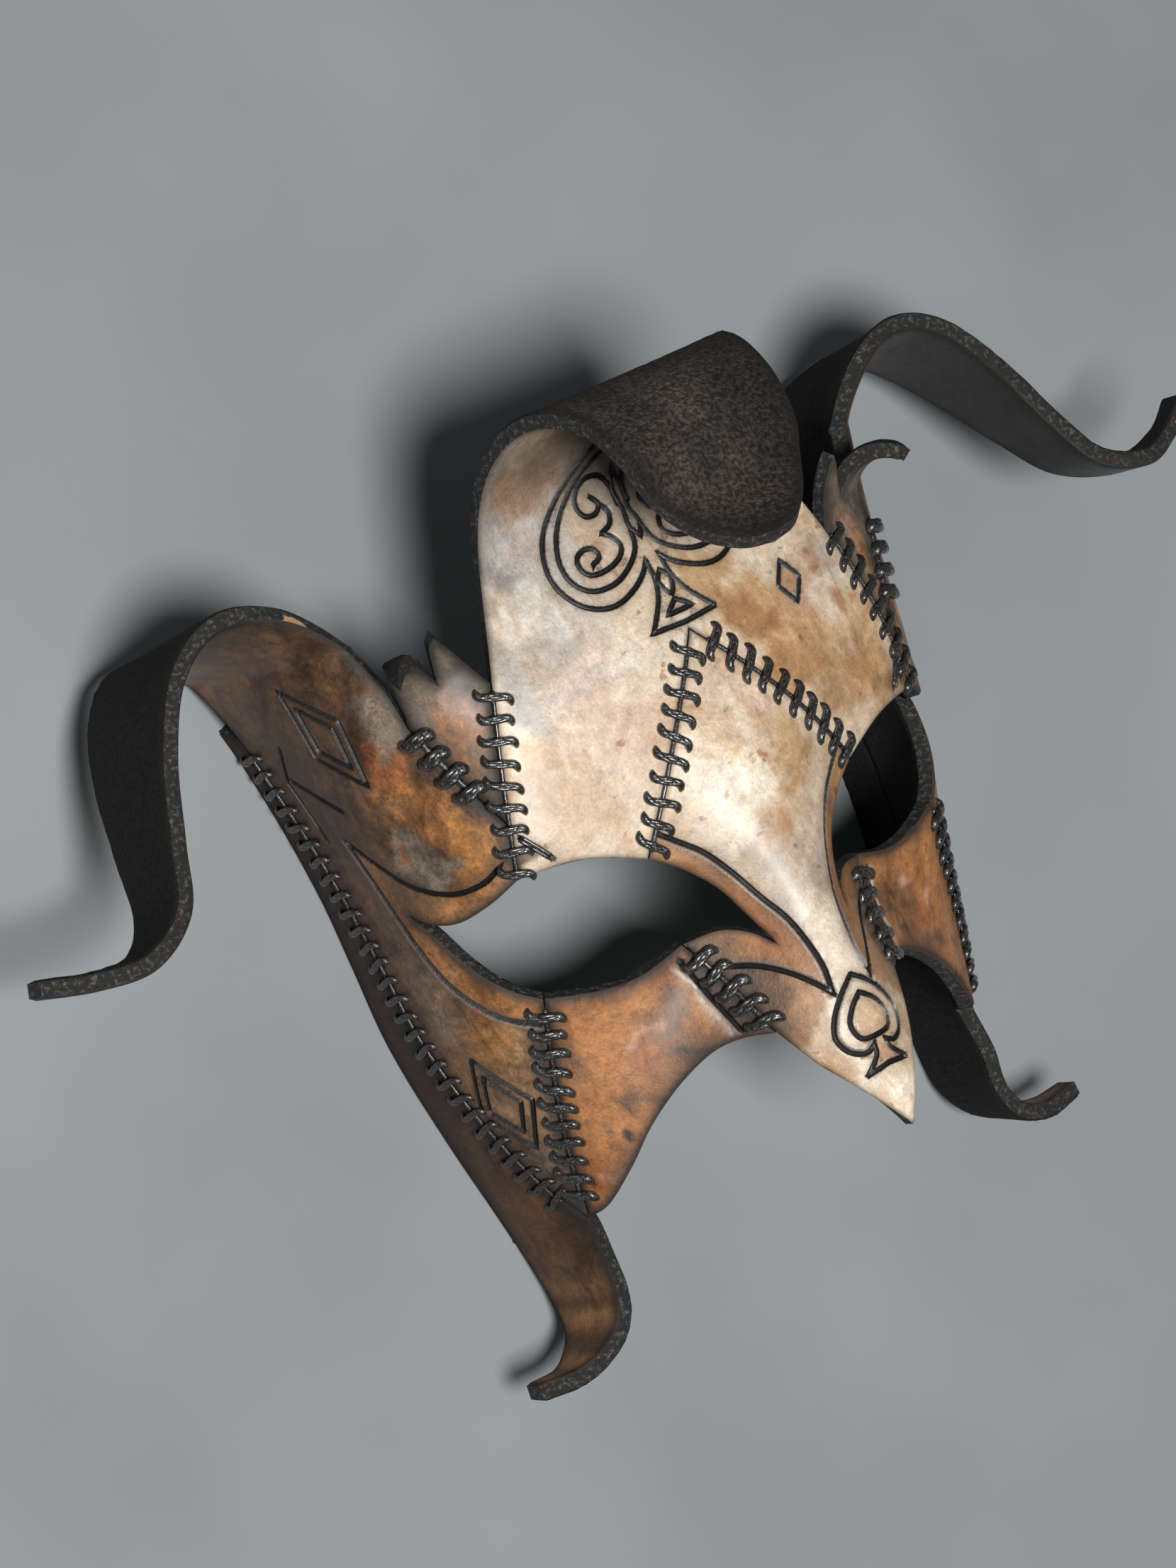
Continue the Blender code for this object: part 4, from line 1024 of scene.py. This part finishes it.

# %% [markdown]
# ## Nose panel
# The nose is one piece from the point between the brows to the beak, with a leaf band round
# the inner corner of each eye and a small spade near the tip. Creasing it over the ridge is
# what gives the beak its edge. The bands are dyed amber and the rest is left pale, with a
# painted highlight on the brow.

# %% The nose panel
nose_dyes_and_highlight = [
    (0, 30, 9, 7, "tan", 0.25), (8, 16, 7, 8, "rose", 0.28), (9, 9, 5, 7, "ochre", 0.75, 3),
    (14, 8, 5, 5, "tan", 0.5), (-12, 16, 6, 7, "ivory", 0.5), (3, 7, 5, 5, "ochre", 0.35, 4),
    # The ivory spot at (-5, 9) on the brow is pale dye with a painted highlight on it.
    (-5, 9, 7, 7, "ivory", 0.95), (-2, -2, 4, 4, "ochre", 0.8, 3), (-6, -6, 4, 3.5, "smoke", 0.45),
    (1, -12, 4, 6, "smoke", 0.35), (0, -26, 5, 8, "ivory", 0.8), (0, -58, 14, 9, "ivory", 0.9),
    ([(a, b) for a, b in NOSE_SPADE_STEM] + [(-a, b) for a, b in NOSE_SPADE_STEM[::-1]], "rose", 0.7),
]
for side in (-1, 1):
    nose_dyes_and_highlight += on_side(side, [
        ([(side * a, b) for a, b in LEAF + LEAF_BACK[1:] + [(32, -20), (32, 5)]], "amber", 0.95),
        (15.5, -5, 3, 4, "umber", 0.45), (8.6, -20, 3.2, 7, "rust", 0.55),
        (16, -20, 6, 2.5, "amber", 0.5), (22, -18, 3, 3, "umber", 0.5),
        ([(side * a, b) for a, b in LEAF_BACK + [(30, -23), (26, -40), (13, -42), (9, -38)]],
         "amber", 0.8),
        (11, -35, 4, 4, "tan", 0.85, 3), (16, -30, 5, 5, "brown", 0.85, 3),
        (edge(SEAM_NOSE_LOW, side), 4.5, "char", 0.85), (edge(EYE_INNER, side), 1.6, "umber", 0.4),
        (26, -20, 6, 4.5, "brown", 0.8), (9, -46, 4, 5, "ochre", 0.5, 3),
        (20, 1, 3, 4, "ochre", 0.6), (5, -15, 3, 8, "smoke", 0.35),
    ])
outline = across_middle((SEAM_NOSE_TOP, EYE_INNER, EYE_INNER_LOW, SEAM_NOSE_LOW, NOSE_EDGE))
inner_spade = NOSE_SPADE_INNER + [(-a, b) for a, b in NOSE_SPADE_INNER[-2:0:-1]]
figures = [drawn(inner_spade, 1, True, True), drawn(NOSE_SPADE_FOOT, 1, False)]
for side in (-1, 1):
    figures += [drawn(c, side, True, False, bevel) for c, bevel in (
        (LEAF, 1), (LEAF_BACK, 1), (NOSE_SPADE, -1), (NOSE_SPADE_STEM, 0))]
nose, _ = panel(outline, figures, "cream", nose_dyes_and_highlight)
make_piece("nose_panel", nose, finishes["bleached"])

# %% [markdown]
# ## Forehead panel
# The forehead carries the large carved spade. Its tall point was bent back on itself while
# wet, so its suede side faces up, and the right of that suede is darkened with painted shade.
# The right side has a small diamond pip. The leather is pale below, smoky grey where it rolls
# over, partly painted shade in the hollow under the roll, and ochre towards the right temple.

# %% The forehead panel
forehead_dyes_and_shade = [
    (-26, 60, 10, 14, "grey", 0.85), (-18, 62, 8, 10, "grey", 0.75), (-24, 46, 9, 7, "grey", 0.6),
    (-18, 73, 9, 5, "tan", 0.85, 3), (-12, 79, 12, 6, "umber", 0.8), (-28, 73, 5, 9, "smoke", 0.85),
    # The smoke spot at (0, 72) is painted shade in the hollow where the point rolls over.
    (0, 72, 22, 7, "smoke", 0.85), (8, 62, 9, 8, "grey", 0.5), (-32, 50, 8, 8, "ivory", 0.5),
    (-30, 42, 12, 3, "smoke", 0.35, 2), (-20, 35, 14, 2.2, "grey", 0.6, 2),
    (-38, 32, 6, 8, "ivory", 0.9), (-24, 33, 7, 7, "rose", 0.35), (-20, 22, 8, 8, "rose", 0.32),
    (-36, 46, 3, 12, "smoke", 0.55, 2), (-30, 60, 4, 6, "smoke", 0.6, 2),
    (-34, 36, 3, 9, "grey", 0.6, 2), (-33, 15, 6, 7, "ochre", 0.55, 2),
    (-37, 21, 5, 6, "tan", 0.35, 3), (-14, 14, 5, 9, "ochre", 0.3), (-12, 38, 8, 6, "ivory", 0.5),
    (7, 44, 7, 5, "ochre", 0.9, 3), (14, 34, 8, 6, "ochre", 0.95, 3), (13, 33, 5, 4, "tan", 0.8, 3),
    (22, 24, 10, 7, "ochre", 0.95, 3), (21, 22, 5, 4, "tan", 0.6, 3),
    (31, 14, 10, 7, "tan", 0.85, 2), (12, 21, 6, 5, "ochre", 0.6, 2),
    (38, 12, 6, 6, "ochre", 0.9, 2), (26, 32, 7, 5, "rose", 0.3), (35, 39, 6, 6, "grey", 0.7),
    (32, 38, 2, 2, "rust", 0.5, 4), (18, 31, 2, 1.6, "rust", 0.4, 4),
    (40, 22, 5, 8, "ochre", 0.7, 3), (37, 29, 2.2, 1.8, "rust", 0.5, 4),
    (0, 100, 60, 22, "umber", 0.9), (42, 10, 6, 4, "umber", 0.6), (-42, 9, 4, 2.4, "tan", 0.5),
    (-47.5, 10, 3.0, 3.0, "brown", 0.95, 4), (47.5, 10, 3.0, 3.0, "brown", 0.95, 4),
]
outline = across_middle((SEAM_NOSE_TOP, EYE_TOP, SEAM_TEMPLE_LOW, SEAM_TEMPLE, TONGUE_EDGE))
figures = [drawn(SPADE_FOOT, 1, False), drawn(SPADE_ALMOND, 1, True, True),
           drawn(SPADE_WEDGE, 1, False, True), drawn(PIP, 1, False, True)]
for side in (-1, 1):
    figures += [drawn(c, side) for c in (SPADE_LOBE, SPADE_LOBE_INNER, SPADE_SCROLL, SPADE_CUSP,
                                         SPADE_CURL, SPADE_HEART, SPADE_STEM)]
    figures.append(placed(GUSSET_LINE, side))
# The char spot at (13, 112) is painted shade on the right of the rolled point's suede; the other two are
# dye.
flap_dyes_and_shade = [(13, 112, 8, 24, "char", 0.8), (0, 133, 12, 5, "char", 0.6),
             (-4, 108, 9, 14, "smoke", 0.35)]
forehead, _ = panel(outline, figures, "cream", forehead_dyes_and_shade, back_dye="suede",
                    back_patches=flap_dyes_and_shade)
make_piece("forehead_panel", forehead, finishes["bleached"])

# %% [markdown]
# ## Side panels
# Each side panel wraps the temple and the outer corner of the eye, runs on as the band under
# the eye, and grows into the horn. A line follows the eye, with a double diamond above and
# below it. The hide is dyed brown and rubbed back to amber, with grey patches where dye failed.

# %% The side panels and their horns
for word, side in SIDES:
    dyes = on_side(side, [
        (97, 63, 12, 7, "tan", 0.75), (80, 67, 14, 5, "char", 0.85), (75, 60, 9, 6, "brown", 0.6),
        (85, 44, 6, 12, "umber", 0.85), (82, 30, 6, 9, "umber", 0.9), (73, 46, 6, 8, "umber", 0.35),
        (62, 42, 5, 6, "taupe", 0.9, 4), (66, 39, 2.6, 2, "rust", 0.9, 5),
        (59, 45, 3, 5, "taupe", 0.6), (66, 33, 5, 4.5, "rust", 0.9, 3),
        (61, 27, 6.5, 6.5, "orange", 0.85, 3), (56, 17, 4.6, 7, "amber", 0.98, 3),
        (68, 26, 4, 5, "tan", 0.6), (70, 32, 2.2, 2.6, "taupe", 0.6),
        (68.5, 20, 3.6, 3.0, "taupe", 0.98, 5), (63.5, 14, 4.6, 2.4, "taupe", 0.98, 5),
        (66, 17.5, 3.2, 2.2, "taupe", 0.9, 5), (67, 19.5, 1.3, 0.9, "rust", 0.8, 5),
        ([*edge(LOWER_LINE, side), (side * 52, -15), (side * 60, 0), (side * 76, 11)], "orange", 0.85),
        ([*edge(BROW_LINE, side), (side * 45, 6), (side * 60, 0), (side * 76, 11)], "tan", 0.85),
        (edge(SEAM_CHEEK, side), 3.2, "char", 0.6), (edge(SEAM_JAW, side), 3.2, "char", 0.65),
        (76, 13, 5, 7, "umber", 0.8), (62, 6, 12, 3.2, "orange", 0.55, 3),
        (71, 8, 4, 4, "umber", 0.6), (69, -1, 3.4, 7, "tan", 0.9), (64, -8, 4, 6, "orange", 0.85),
        (58.5, -14, 5, 4, "orange", 0.9), (87, 6, 4.5, 12, "brown", 0.6),
        (82, -4, 4, 8, "taupe", 0.4), (76, -13, 5, 7, "taupe", 0.6), (66, -20, 6, 7, "amber", 0.7),
        (61, -21, 3, 5, "ochre", 0.55), (75, -27, 5, 7, "tan", 0.5),
        (72, -33.5, 4, 6, "taupe", 0.35), (66, -34, 3.4, 8, "ochre", 0.5),
        (69, -45, 5, 6, "taupe", 0.4), (80, -28, 4, 10, "umber", 0.6),
        (84, -14, 4, 10, "umber", 0.6), (57, -24, 3, 7, "smoke", 0.5),
        (62, -36, 3, 10, "smoke", 0.45), (67, -49, 3, 8, "smoke", 0.5),
        (92, 25, 5, 18, "umber", 0.7),
    ])
    edges = [edge(c, side) for c in (SEAM_TEMPLE_LOW, EYE_OUTER_TOP, EYE_OUTER_LOW, SEAM_CHEEK, SEAM_JAW,
                                     HORN_FAR_EDGE, HORN_ROOT, HORN_NEAR_EDGE, SEAM_GUSSET)]
    figures = [placed(BROW_LINE, side), placed(LOWER_LINE, side, True, False, 1),
               placed(HALF_DIAMOND, side, False), placed(HALF_DIAMOND_BAR, side)]
    figures += double(DIAMOND_TOP, side) + double(DIAMOND_LOW, side)
    side_panel, root = panel(chain(*edges), figures, "brown", dyes, None, edge(HORN_ROOT, side))
    tip = HORN_RIGHT_TIP_LIFT if side > 0 else -HORN_LEFT_TIP_DROP
    grow_strap(side_panel, root,
               strap_points(HORN_UPPER, side, tip), strap_points(HORN_LOWER, side, tip),
               ("char", "nap_black"), [edge(HORN_NEAR_EDGE, side)[-12], edge(HORN_FAR_EDGE, side)[8]])
    make_piece("side_panel_" + word, side_panel, finishes["browned"])

# %% [markdown]
# ## Gussets
# A gusset is a small wedge that lets the forehead and the temple meet at an angle. Its two
# points stand free and curl off the form, the outer one into a small claw.

# %% The gussets
CURL_START = 44.0
INNER_POINT_RADIUS = 14.0
OUTER_POINT_RADIUS = 6.0
POINTS_PART_AT = 44.6
POINTS_PART_OVER = 1.6


def gusset_lift(flat, base, normal):
    """The two points bend off the form, the outer one in a tighter bow."""
    along = np.maximum(0, flat[:, 1] - CURL_START)
    lengths = np.array([round_length(v) for v in flat[:, 1]])
    outer = np.clip((100 * np.abs(flat[:, 0]) / lengths - POINTS_PART_AT) / POINTS_PART_OVER, 0, 1)
    radius = INNER_POINT_RADIUS + (OUTER_POINT_RADIUS - INNER_POINT_RADIUS) * outer
    angle = along / radius
    up = np.array((0.0, 1.0, 0.0))
    reach = (radius * np.sin(angle) - along)[:, None] * up
    raised = base + reach + normal * (radius * (1 - np.cos(angle)))[:, None]
    return raised, normal * np.cos(angle)[:, None] - np.sin(angle)[:, None] * up


for word, side in SIDES:
    outline = chain(edge(SEAM_TEMPLE, side), edge(SEAM_GUSSET, side), edge(GUSSET_POINTS, side, False))
    dyes = on_side(side, [
        (48, 38, 14, 16, "umber", 0.35), (45.5, 40, 2.2, 6, "rose", 0.45, 2),
        (49, 36, 2.0, 5, "copper", 0.7, 2), (49, 27, 3, 6, "tan", 0.5),
        (47, 33, 2.2, 5, "orange", 0.35), (54, 46, 3.5, 5, "smoke", 0.6),
        (42, 47, 4, 3, "char", 0.7), (57, 56, 5, 5, "char", 0.85), (56, 39, 2.5, 5, "smoke", 0.5),
        (edge(SEAM_GUSSET, side), 2.4, "char", 0.7),
    ])
    gusset, _ = panel(outline, (), "taupe", dyes, gusset_lift)
    make_piece("gusset_" + word, gusset, finishes["greyed"])

# %% [markdown]
# ## Cheeks
# The cheeks are the brightest dye on the mask, copper fading to brown at the seam with the
# side panel. A bevelled line marks off a dark tab beside the nose, and a pale painted highlight
# runs beside it along the bevel.

# %% The cheeks
for word, side in SIDES:
    dyes = on_side(side, [
        (46, -23, 8, 6, "orange", 0.7), (34, -27, 5, 4, "brown", 0.7, 2),
        (37, -36, 5, 3, "brown", 0.5, 2), (50, -36, 8, 8, "rust", 0.35),
        (58, -52, 7, 7, "rust", 0.6), (46.2, -39.4, 2.4, 2.2, "brown", 0.8, 3),
        (40, -33, 3.4, 3, "rust", 0.6, 3), (32.9, -33.3, 1.6, 1.4, "char", 0.85, 4),
        (36, -31, 2.6, 2.4, "brown", 0.55, 3), (50.3, -47, 1.7, 1.3, "char", 0.85, 4),
        (53, -43, 2.0, 1.6, "smoke", 0.5, 3), (42, -30, 1.8, 1.2, "rose", 0.9, 4),
        (55, -51, 1.4, 1.0, "rose", 0.8, 4), (38, -28, 1.2, 1.0, "rose", 0.6, 4),
        (33, -24, 4, 5, "brown", 0.45), (31, -35, 5, 3.4, "umber", 0.8),
        (40, -41, 7, 2.4, "umber", 0.7), (52, -50, 5, 2.0, "umber", 0.55),
        ([*edge(TAB_LINE, side), (side * 10, -38), (side * 10, -15)], "char", 0.92),
        (edge(SEAM_CHEEK, side), 3.0, "char", 0.6), (45, -19, 8, 1.6, "smoke", 0.4),
        (56, -24, 2.6, 7, "smoke", 0.5), (60, -36, 2.6, 8, "smoke", 0.45),
        (65, -48, 2.6, 8, "smoke", 0.5),
        # A pale ivory line along the tab's bevel is a painted highlight.
        (list(beside(edge(TAB_LINE, side), BEVEL_RAILS[0] * side)), 0.6, "ivory", 0.95),
    ])
    edges = [edge(c, side) for c in (EYE_LOW, SEAM_NOSE_LOW, CHEEK_EDGE, SEAM_CHEEK)]
    cheek, _ = panel(chain(*edges), [placed(TAB_LINE, side, True, False, 1)], "copper", dyes)
    make_piece("cheek_" + word, cheek, finishes["coppered"])

# %% [markdown]
# ## Jaw strips
# The outer strips carry the mask on the table. They are almost black at the seam and brown
# towards the tail, which curls out and up. High up and along the outer rim the dark brown is
# darkened further with painted shade, as the strips stand turned away from the light.

# %% The jaw strips and their tails
RIM_TRIM = 0.4
for word, side in SIDES:
    edges = [edge(c, side) for c in (SEAM_JAW, TAIL_ROOT, JAW_RIM, JAW_END)]
    # The near-black ground, the umber high up and the char along the outer rim are dark brown dye with
    # painted shade, as the strip stands turned away from the light; the brown near the tail and the char
    # at the seam are dye.
    dyes = on_side(side, [
        (80, -56, 10, 10, "brown", 0.9), (84, -40, 6, 9, "brown", 0.5),
        (96, 10, 6, 40, "umber", 0.6), (104, -20, 6, 40, "char", 0.7),
        (edge(SEAM_JAW, side), 3.0, "char", 0.6),
    ])
    jaw, root = panel(chain(*edges), (), "shaded_russet", dyes, None, edge(TAIL_ROOT, side))
    for points in jaw.points:
        points[:, 2] = np.where(points[:, 2] < FLOOR + RIM_TRIM, FLOOR, points[:, 2])
    grow_strap(jaw, root, strap_points(TAIL_UPPER, side), strap_points(TAIL_LOWER, side),
               ("brown", "tan"), [edge(SEAM_JAW, side)[-10], edge(JAW_RIM, side)[8]])
    make_piece("jaw_strip_" + word, jaw, finishes["darkened"])

# %% [markdown]
# ## Laces
# Each seam is closed by a waxed black thread: a cord lies in the seam, and at every stitch three
# strands cross it and dive into the leather on both sides, at a slant. A drawn curve with its
# own thickness at each point is the closest tool to a thread, so a lace is one curve object of
# many short strands, which is then made a mesh. Hand work is never even, so each stitch leans
# and reaches a little differently, by waves that repeat only after many stitches.

# %% Thread finishes
THREAD_FIBRES = (1900, 3, 0.6)
THREAD_WAX_ROUGHNESS = 0.18


def thread_finish(name, dark, glint, gloss, wax):
    """Twisted thread: fibres of two tones under a coat of wax."""
    material, tree, shader = new_finish(name)
    fibre = noise(tree, *THREAD_FIBRES)
    tree.links.new(mix(tree, ramp(tree, fibre, 0.42, 0.72), dark, glint), shader.inputs["Base Color"])
    shader.inputs["Roughness"].default_value = gloss
    shader.inputs["Coat Weight"].default_value = wax
    shader.inputs["Coat Roughness"].default_value = THREAD_WAX_ROUGHNESS
    relief(tree, shader, ((fibre, 0.0003, 0.8),))
    return material


thread_black = thread_finish("waxed_thread", (0.008, 0.008, 0.008), (0.050, 0.046, 0.042), 0.22, 0.8)
thread_dyed = thread_finish("dyed_thread", (0.010, 0.008, 0.007), (0.050, 0.036, 0.030), 0.34, 0.4)

# %% [markdown]
# A row of LACES is a seam, the pitch and the span of its stitches, the gaps before the first and
# after the last, and its weight. A row of STITCH_SHAPE is half a strand: its share of the half
# span, how far it has slanted along the seam, its height and its thickness.

# %% Stitches along a seam
STITCH_PITCH, STITCH_SPAN = 4.0, 6.0
NARROW_SPAN = 4.6
LACES = {
    "nose_top": (SEAM_NOSE_TOP, STITCH_PITCH, STITCH_SPAN, 1.6, 0.5, 1.12),
    "temple": (SEAM_TEMPLE + SEAM_TEMPLE_LOW[1:], STITCH_PITCH, STITCH_SPAN, 0.5, 0.5, 1.1),
    "gusset": (SEAM_GUSSET, 4.4, NARROW_SPAN, 0.5, 8.5, 1.75),
    "cheek": (SEAM_CHEEK, 3.6, STITCH_SPAN, 0.5, 4.0, 1.25),
    "jaw": (SEAM_JAW, 3.8, STITCH_SPAN, 3.0, 6.5, 1.0),
    "nose_low": (SEAM_NOSE_LOW, STITCH_PITCH, STITCH_SPAN, 0.5, 0.5, 1.45),
}
CORD_RADIUS = 0.40
CORD_SINK = 0.05
CORD_OVERRUN, CORD_STEP = 1.2, 0.8
GUSSET_CORDS = (-0.32, 0.32)
GUSSET_CORD_LIFT = 0.15
STRANDS = (-0.42, 0.0, 0.42)
STRAND_RADIUS = 0.34
STRAND_SINK = 0.1
STRAND_STEP = 0.45
TWIST = 0.10
LEAN, PULL = 0.12, 0.05
SLANT_ROOM, END_ROOM = 0.28, 0.5
GATHER_SPAN, GATHER_LEAST = 0.62, 0.12
STITCH_SHAPE = [(1.00, -1.9, -0.35, 0.15), (1.03, -1.3, 0.05, 1.25), (0.98, -0.7, 0.38, 1.9),
                (0.80, -0.18, 0.68, 1.75), (0.50, -0.04, 0.88, 1.3), (0.22, 0.0, 1.0, 1.15),
                (0.0, 0.0, 1.05, 1.1)]


def seam_reader(seam, side):
    """Reads places beside a seam: along it, sideways from it and above the leather."""
    line = np.array(edge(seam, side, True, 0.5))
    way = np.concatenate([[0], np.cumsum(np.linalg.norm(np.diff(line, axis=0), axis=1))])

    def at(along, sideways, above):
        along = min(max(along, 0.2), way[-1] - 0.2)
        here, ahead, back = (np.array([np.interp(s, way, line[:, k]) for k in (0, 1)])
                             for s in (along, min(along + 0.5, way[-1]), max(along - 0.5, 0)))
        run = (ahead - back) / np.linalg.norm(ahead - back)
        flat = (here + np.array((-run[1], run[0])) * sideways)[None]
        return (form(flat) + form_normals(flat) * above + place["shift"])[0] * MM

    return at, way[-1]


def add_strand(curve, points, radii):
    """Add one thread to a curve, with its own radius at each point."""
    strand = curve.splines.new("POLY")
    strand.points.add(len(points) - 1)
    for k, (point, radius) in enumerate(zip(points, radii)):
        strand.points[k].co = (*point, 1)
        strand.points[k].radius = radius


def lace(name, seam, pitch, span, start, finish, weight, side):
    """One lace as a mesh: the cord in the seam and the strands of each stitch."""
    at, length = seam_reader(seam, side)
    room = length - start - finish - pitch * SLANT_ROOM - 2 * END_ROOM
    count = max(2, int(room / pitch) + 1)
    first = start + pitch * SLANT_ROOM + END_ROOM + (room - (count - 1) * pitch) / 2
    curve = bpy.data.curves.new(name + "_curve", "CURVE")
    curve.dimensions = "3D"
    curve.bevel_depth = MM
    curve.bevel_resolution = 2
    curve.use_fill_caps = True
    ways = np.arange(first - CORD_OVERRUN, first + (count - 1) * pitch + CORD_OVERRUN, CORD_STEP)
    add_strand(curve, [at(s, 0, -CORD_SINK) for s in ways], [CORD_RADIUS * weight] * len(ways))
    half = [(a * span / 2, b * side, c, r) for a, b, c, r in STITCH_SHAPE]
    whole = half + [(-a, -b, c, r) for a, b, c, r in half[-2::-1]]
    for k in range(count):
        lean = LEAN * math.sin(5.1 * k)
        pull = 1 + PULL * math.sin(3.7 * k + 1)
        for strand in STRANDS:
            points, radii = [], []
            for sideways, along, above, radius in spline(whole, STRAND_STEP):
                gather = max(GATHER_LEAST, 1 - abs(sideways) / (span * GATHER_SPAN)) * weight
                twist = TWIST * math.sin(2.2 * sideways + 9 * strand)
                place_along = first + k * pitch + along + lean * sideways + strand * gather
                points.append(at(place_along, sideways * pull, (above + twist) * weight - STRAND_SINK))
                radii.append(radius * STRAND_RADIUS * weight)
            add_strand(curve, points, radii)
    if "temple" in name:
        flat = np.array(edge(GUSSET_LINE, side, True, 0.8))
        for off in GUSSET_CORDS:
            places = beside(flat, off)
            cord = (form(places) + form_normals(places) * GUSSET_CORD_LIFT + place["shift"]) * MM
            add_strand(curve, cord, [CORD_RADIUS] * len(cord))
    thread = bpy.data.objects.new(name + "_thread", curve)
    bpy.context.scene.collection.objects.link(thread)
    select_only(thread)
    bpy.ops.object.convert(target="MESH")
    merge_and_turn_out(THREAD_MERGE)
    bpy.ops.object.shade_smooth()
    thread.data.materials.clear()
    thread.data.materials.append(thread_dyed if "jaw" in name else thread_black)
    stand_in(thread, name)
    print(name, count, "stitches")


for word, side in SIDES:
    for seam, sizes in LACES.items():
        lace("lacing_" + seam + "_" + word, *sizes, side)

# %% [markdown]
# ## Table, light and camera
# The mask lies on a plain grey table, which is large enough that its edge never shows. One light
# stands nearly above the mask, leaning a little to its left and to its chin, and gives the gloss
# on the brow; a larger, weaker one beyond the left horn fills the shadows. The camera looks down
# on the mask from its left at the photograph's angle: its place and lens were found from twin
# points of the two halves.

# %% The table
TABLE_SIZE = 9.0
TABLE_DARK, TABLE_LIGHT = (0.20, 0.21, 0.215), (0.24, 0.25, 0.255)
bpy.ops.object.select_all(action="DESELECT")
bpy.ops.mesh.primitive_plane_add(size=TABLE_SIZE, location=(0, 0, 0))
table = bpy.context.active_object
table.name = "table_top"
surface, tree, shader = new_finish("table_surface")
clouds = ramp(tree, noise(tree, 9, 3, 0.5), 0.35, 0.65)
tree.links.new(mix(tree, clouds, TABLE_DARK, TABLE_LIGHT), shader.inputs["Base Color"])
shader.inputs["Roughness"].default_value = 0.9
table.data.materials.append(surface)

# %% The lights
LIT_POINT = Vector((0, 0, 0.05))
LIGHTS = {
    # direction from the lit point, distance, diameter, power
    "key_light": ((-0.30, -0.10, 1.0), 1.5, 0.44, 31.0),
    "fill_light": ((-0.9, 0.9, 1.0), 1.5, 0.9, 1.2),
}
SKY_COLOUR, SKY_STRENGTH = (0.9, 0.95, 1.0, 1), 0.08

for name, (direction, distance, diameter, power) in LIGHTS.items():
    light = bpy.data.lights.new(name, "AREA")
    light.shape = "DISK"
    light.size = diameter
    light.energy = power
    lamp = bpy.data.objects.new(name, light)
    bpy.context.scene.collection.objects.link(lamp)
    lamp.location = LIT_POINT + Vector(direction).normalized() * distance
    lamp.rotation_euler = (LIT_POINT - lamp.location).to_track_quat("-Z", "Y").to_euler()
world = bpy.data.worlds.new("studio")
bpy.context.scene.world = world
world.use_nodes = True
world.node_tree.nodes["Background"].inputs["Color"].default_value = SKY_COLOUR
world.node_tree.nodes["Background"].inputs["Strength"].default_value = SKY_STRENGTH
bpy.context.scene.view_settings.view_transform = "Standard"

# %% The camera
CAMERA_PLACE = (-400.2, 100.0, 664.2)
CAMERA_TILT = 7.0
CAMERA_SWING = 29.0
CAMERA_ROLL = 22.56
LENS = 97.65
SENSOR_WIDTH = 36.0
swing, tilt, roll = (math.radians(a) for a in (CAMERA_SWING, CAMERA_TILT, CAMERA_ROLL))
backward = Vector((-math.sin(swing), math.cos(swing) * math.sin(tilt),
                   math.cos(swing) * math.cos(tilt)))
level = Vector((0, 1, 0)).cross(backward).normalized()
down = (-backward).cross(level)
right_way = math.cos(roll) * level + math.sin(roll) * down
down_way = -math.sin(roll) * level + math.cos(roll) * down
lens = bpy.data.cameras.new("camera")
lens.lens = LENS
lens.sensor_width = SENSOR_WIDTH
lens.sensor_fit = "AUTO"
camera = bpy.data.objects.new("camera", lens)
bpy.context.scene.collection.objects.link(camera)
turn = Matrix((right_way, -down_way, backward)).transposed()
stand = Vector(CAMERA_PLACE) * MM + Vector(place["shift"]) * MM
camera.matrix_world = Matrix.Translation(stand) @ turn.to_4x4()
bpy.context.scene.camera = camera
print("camera at", [round(c, 3) for c in camera.location])
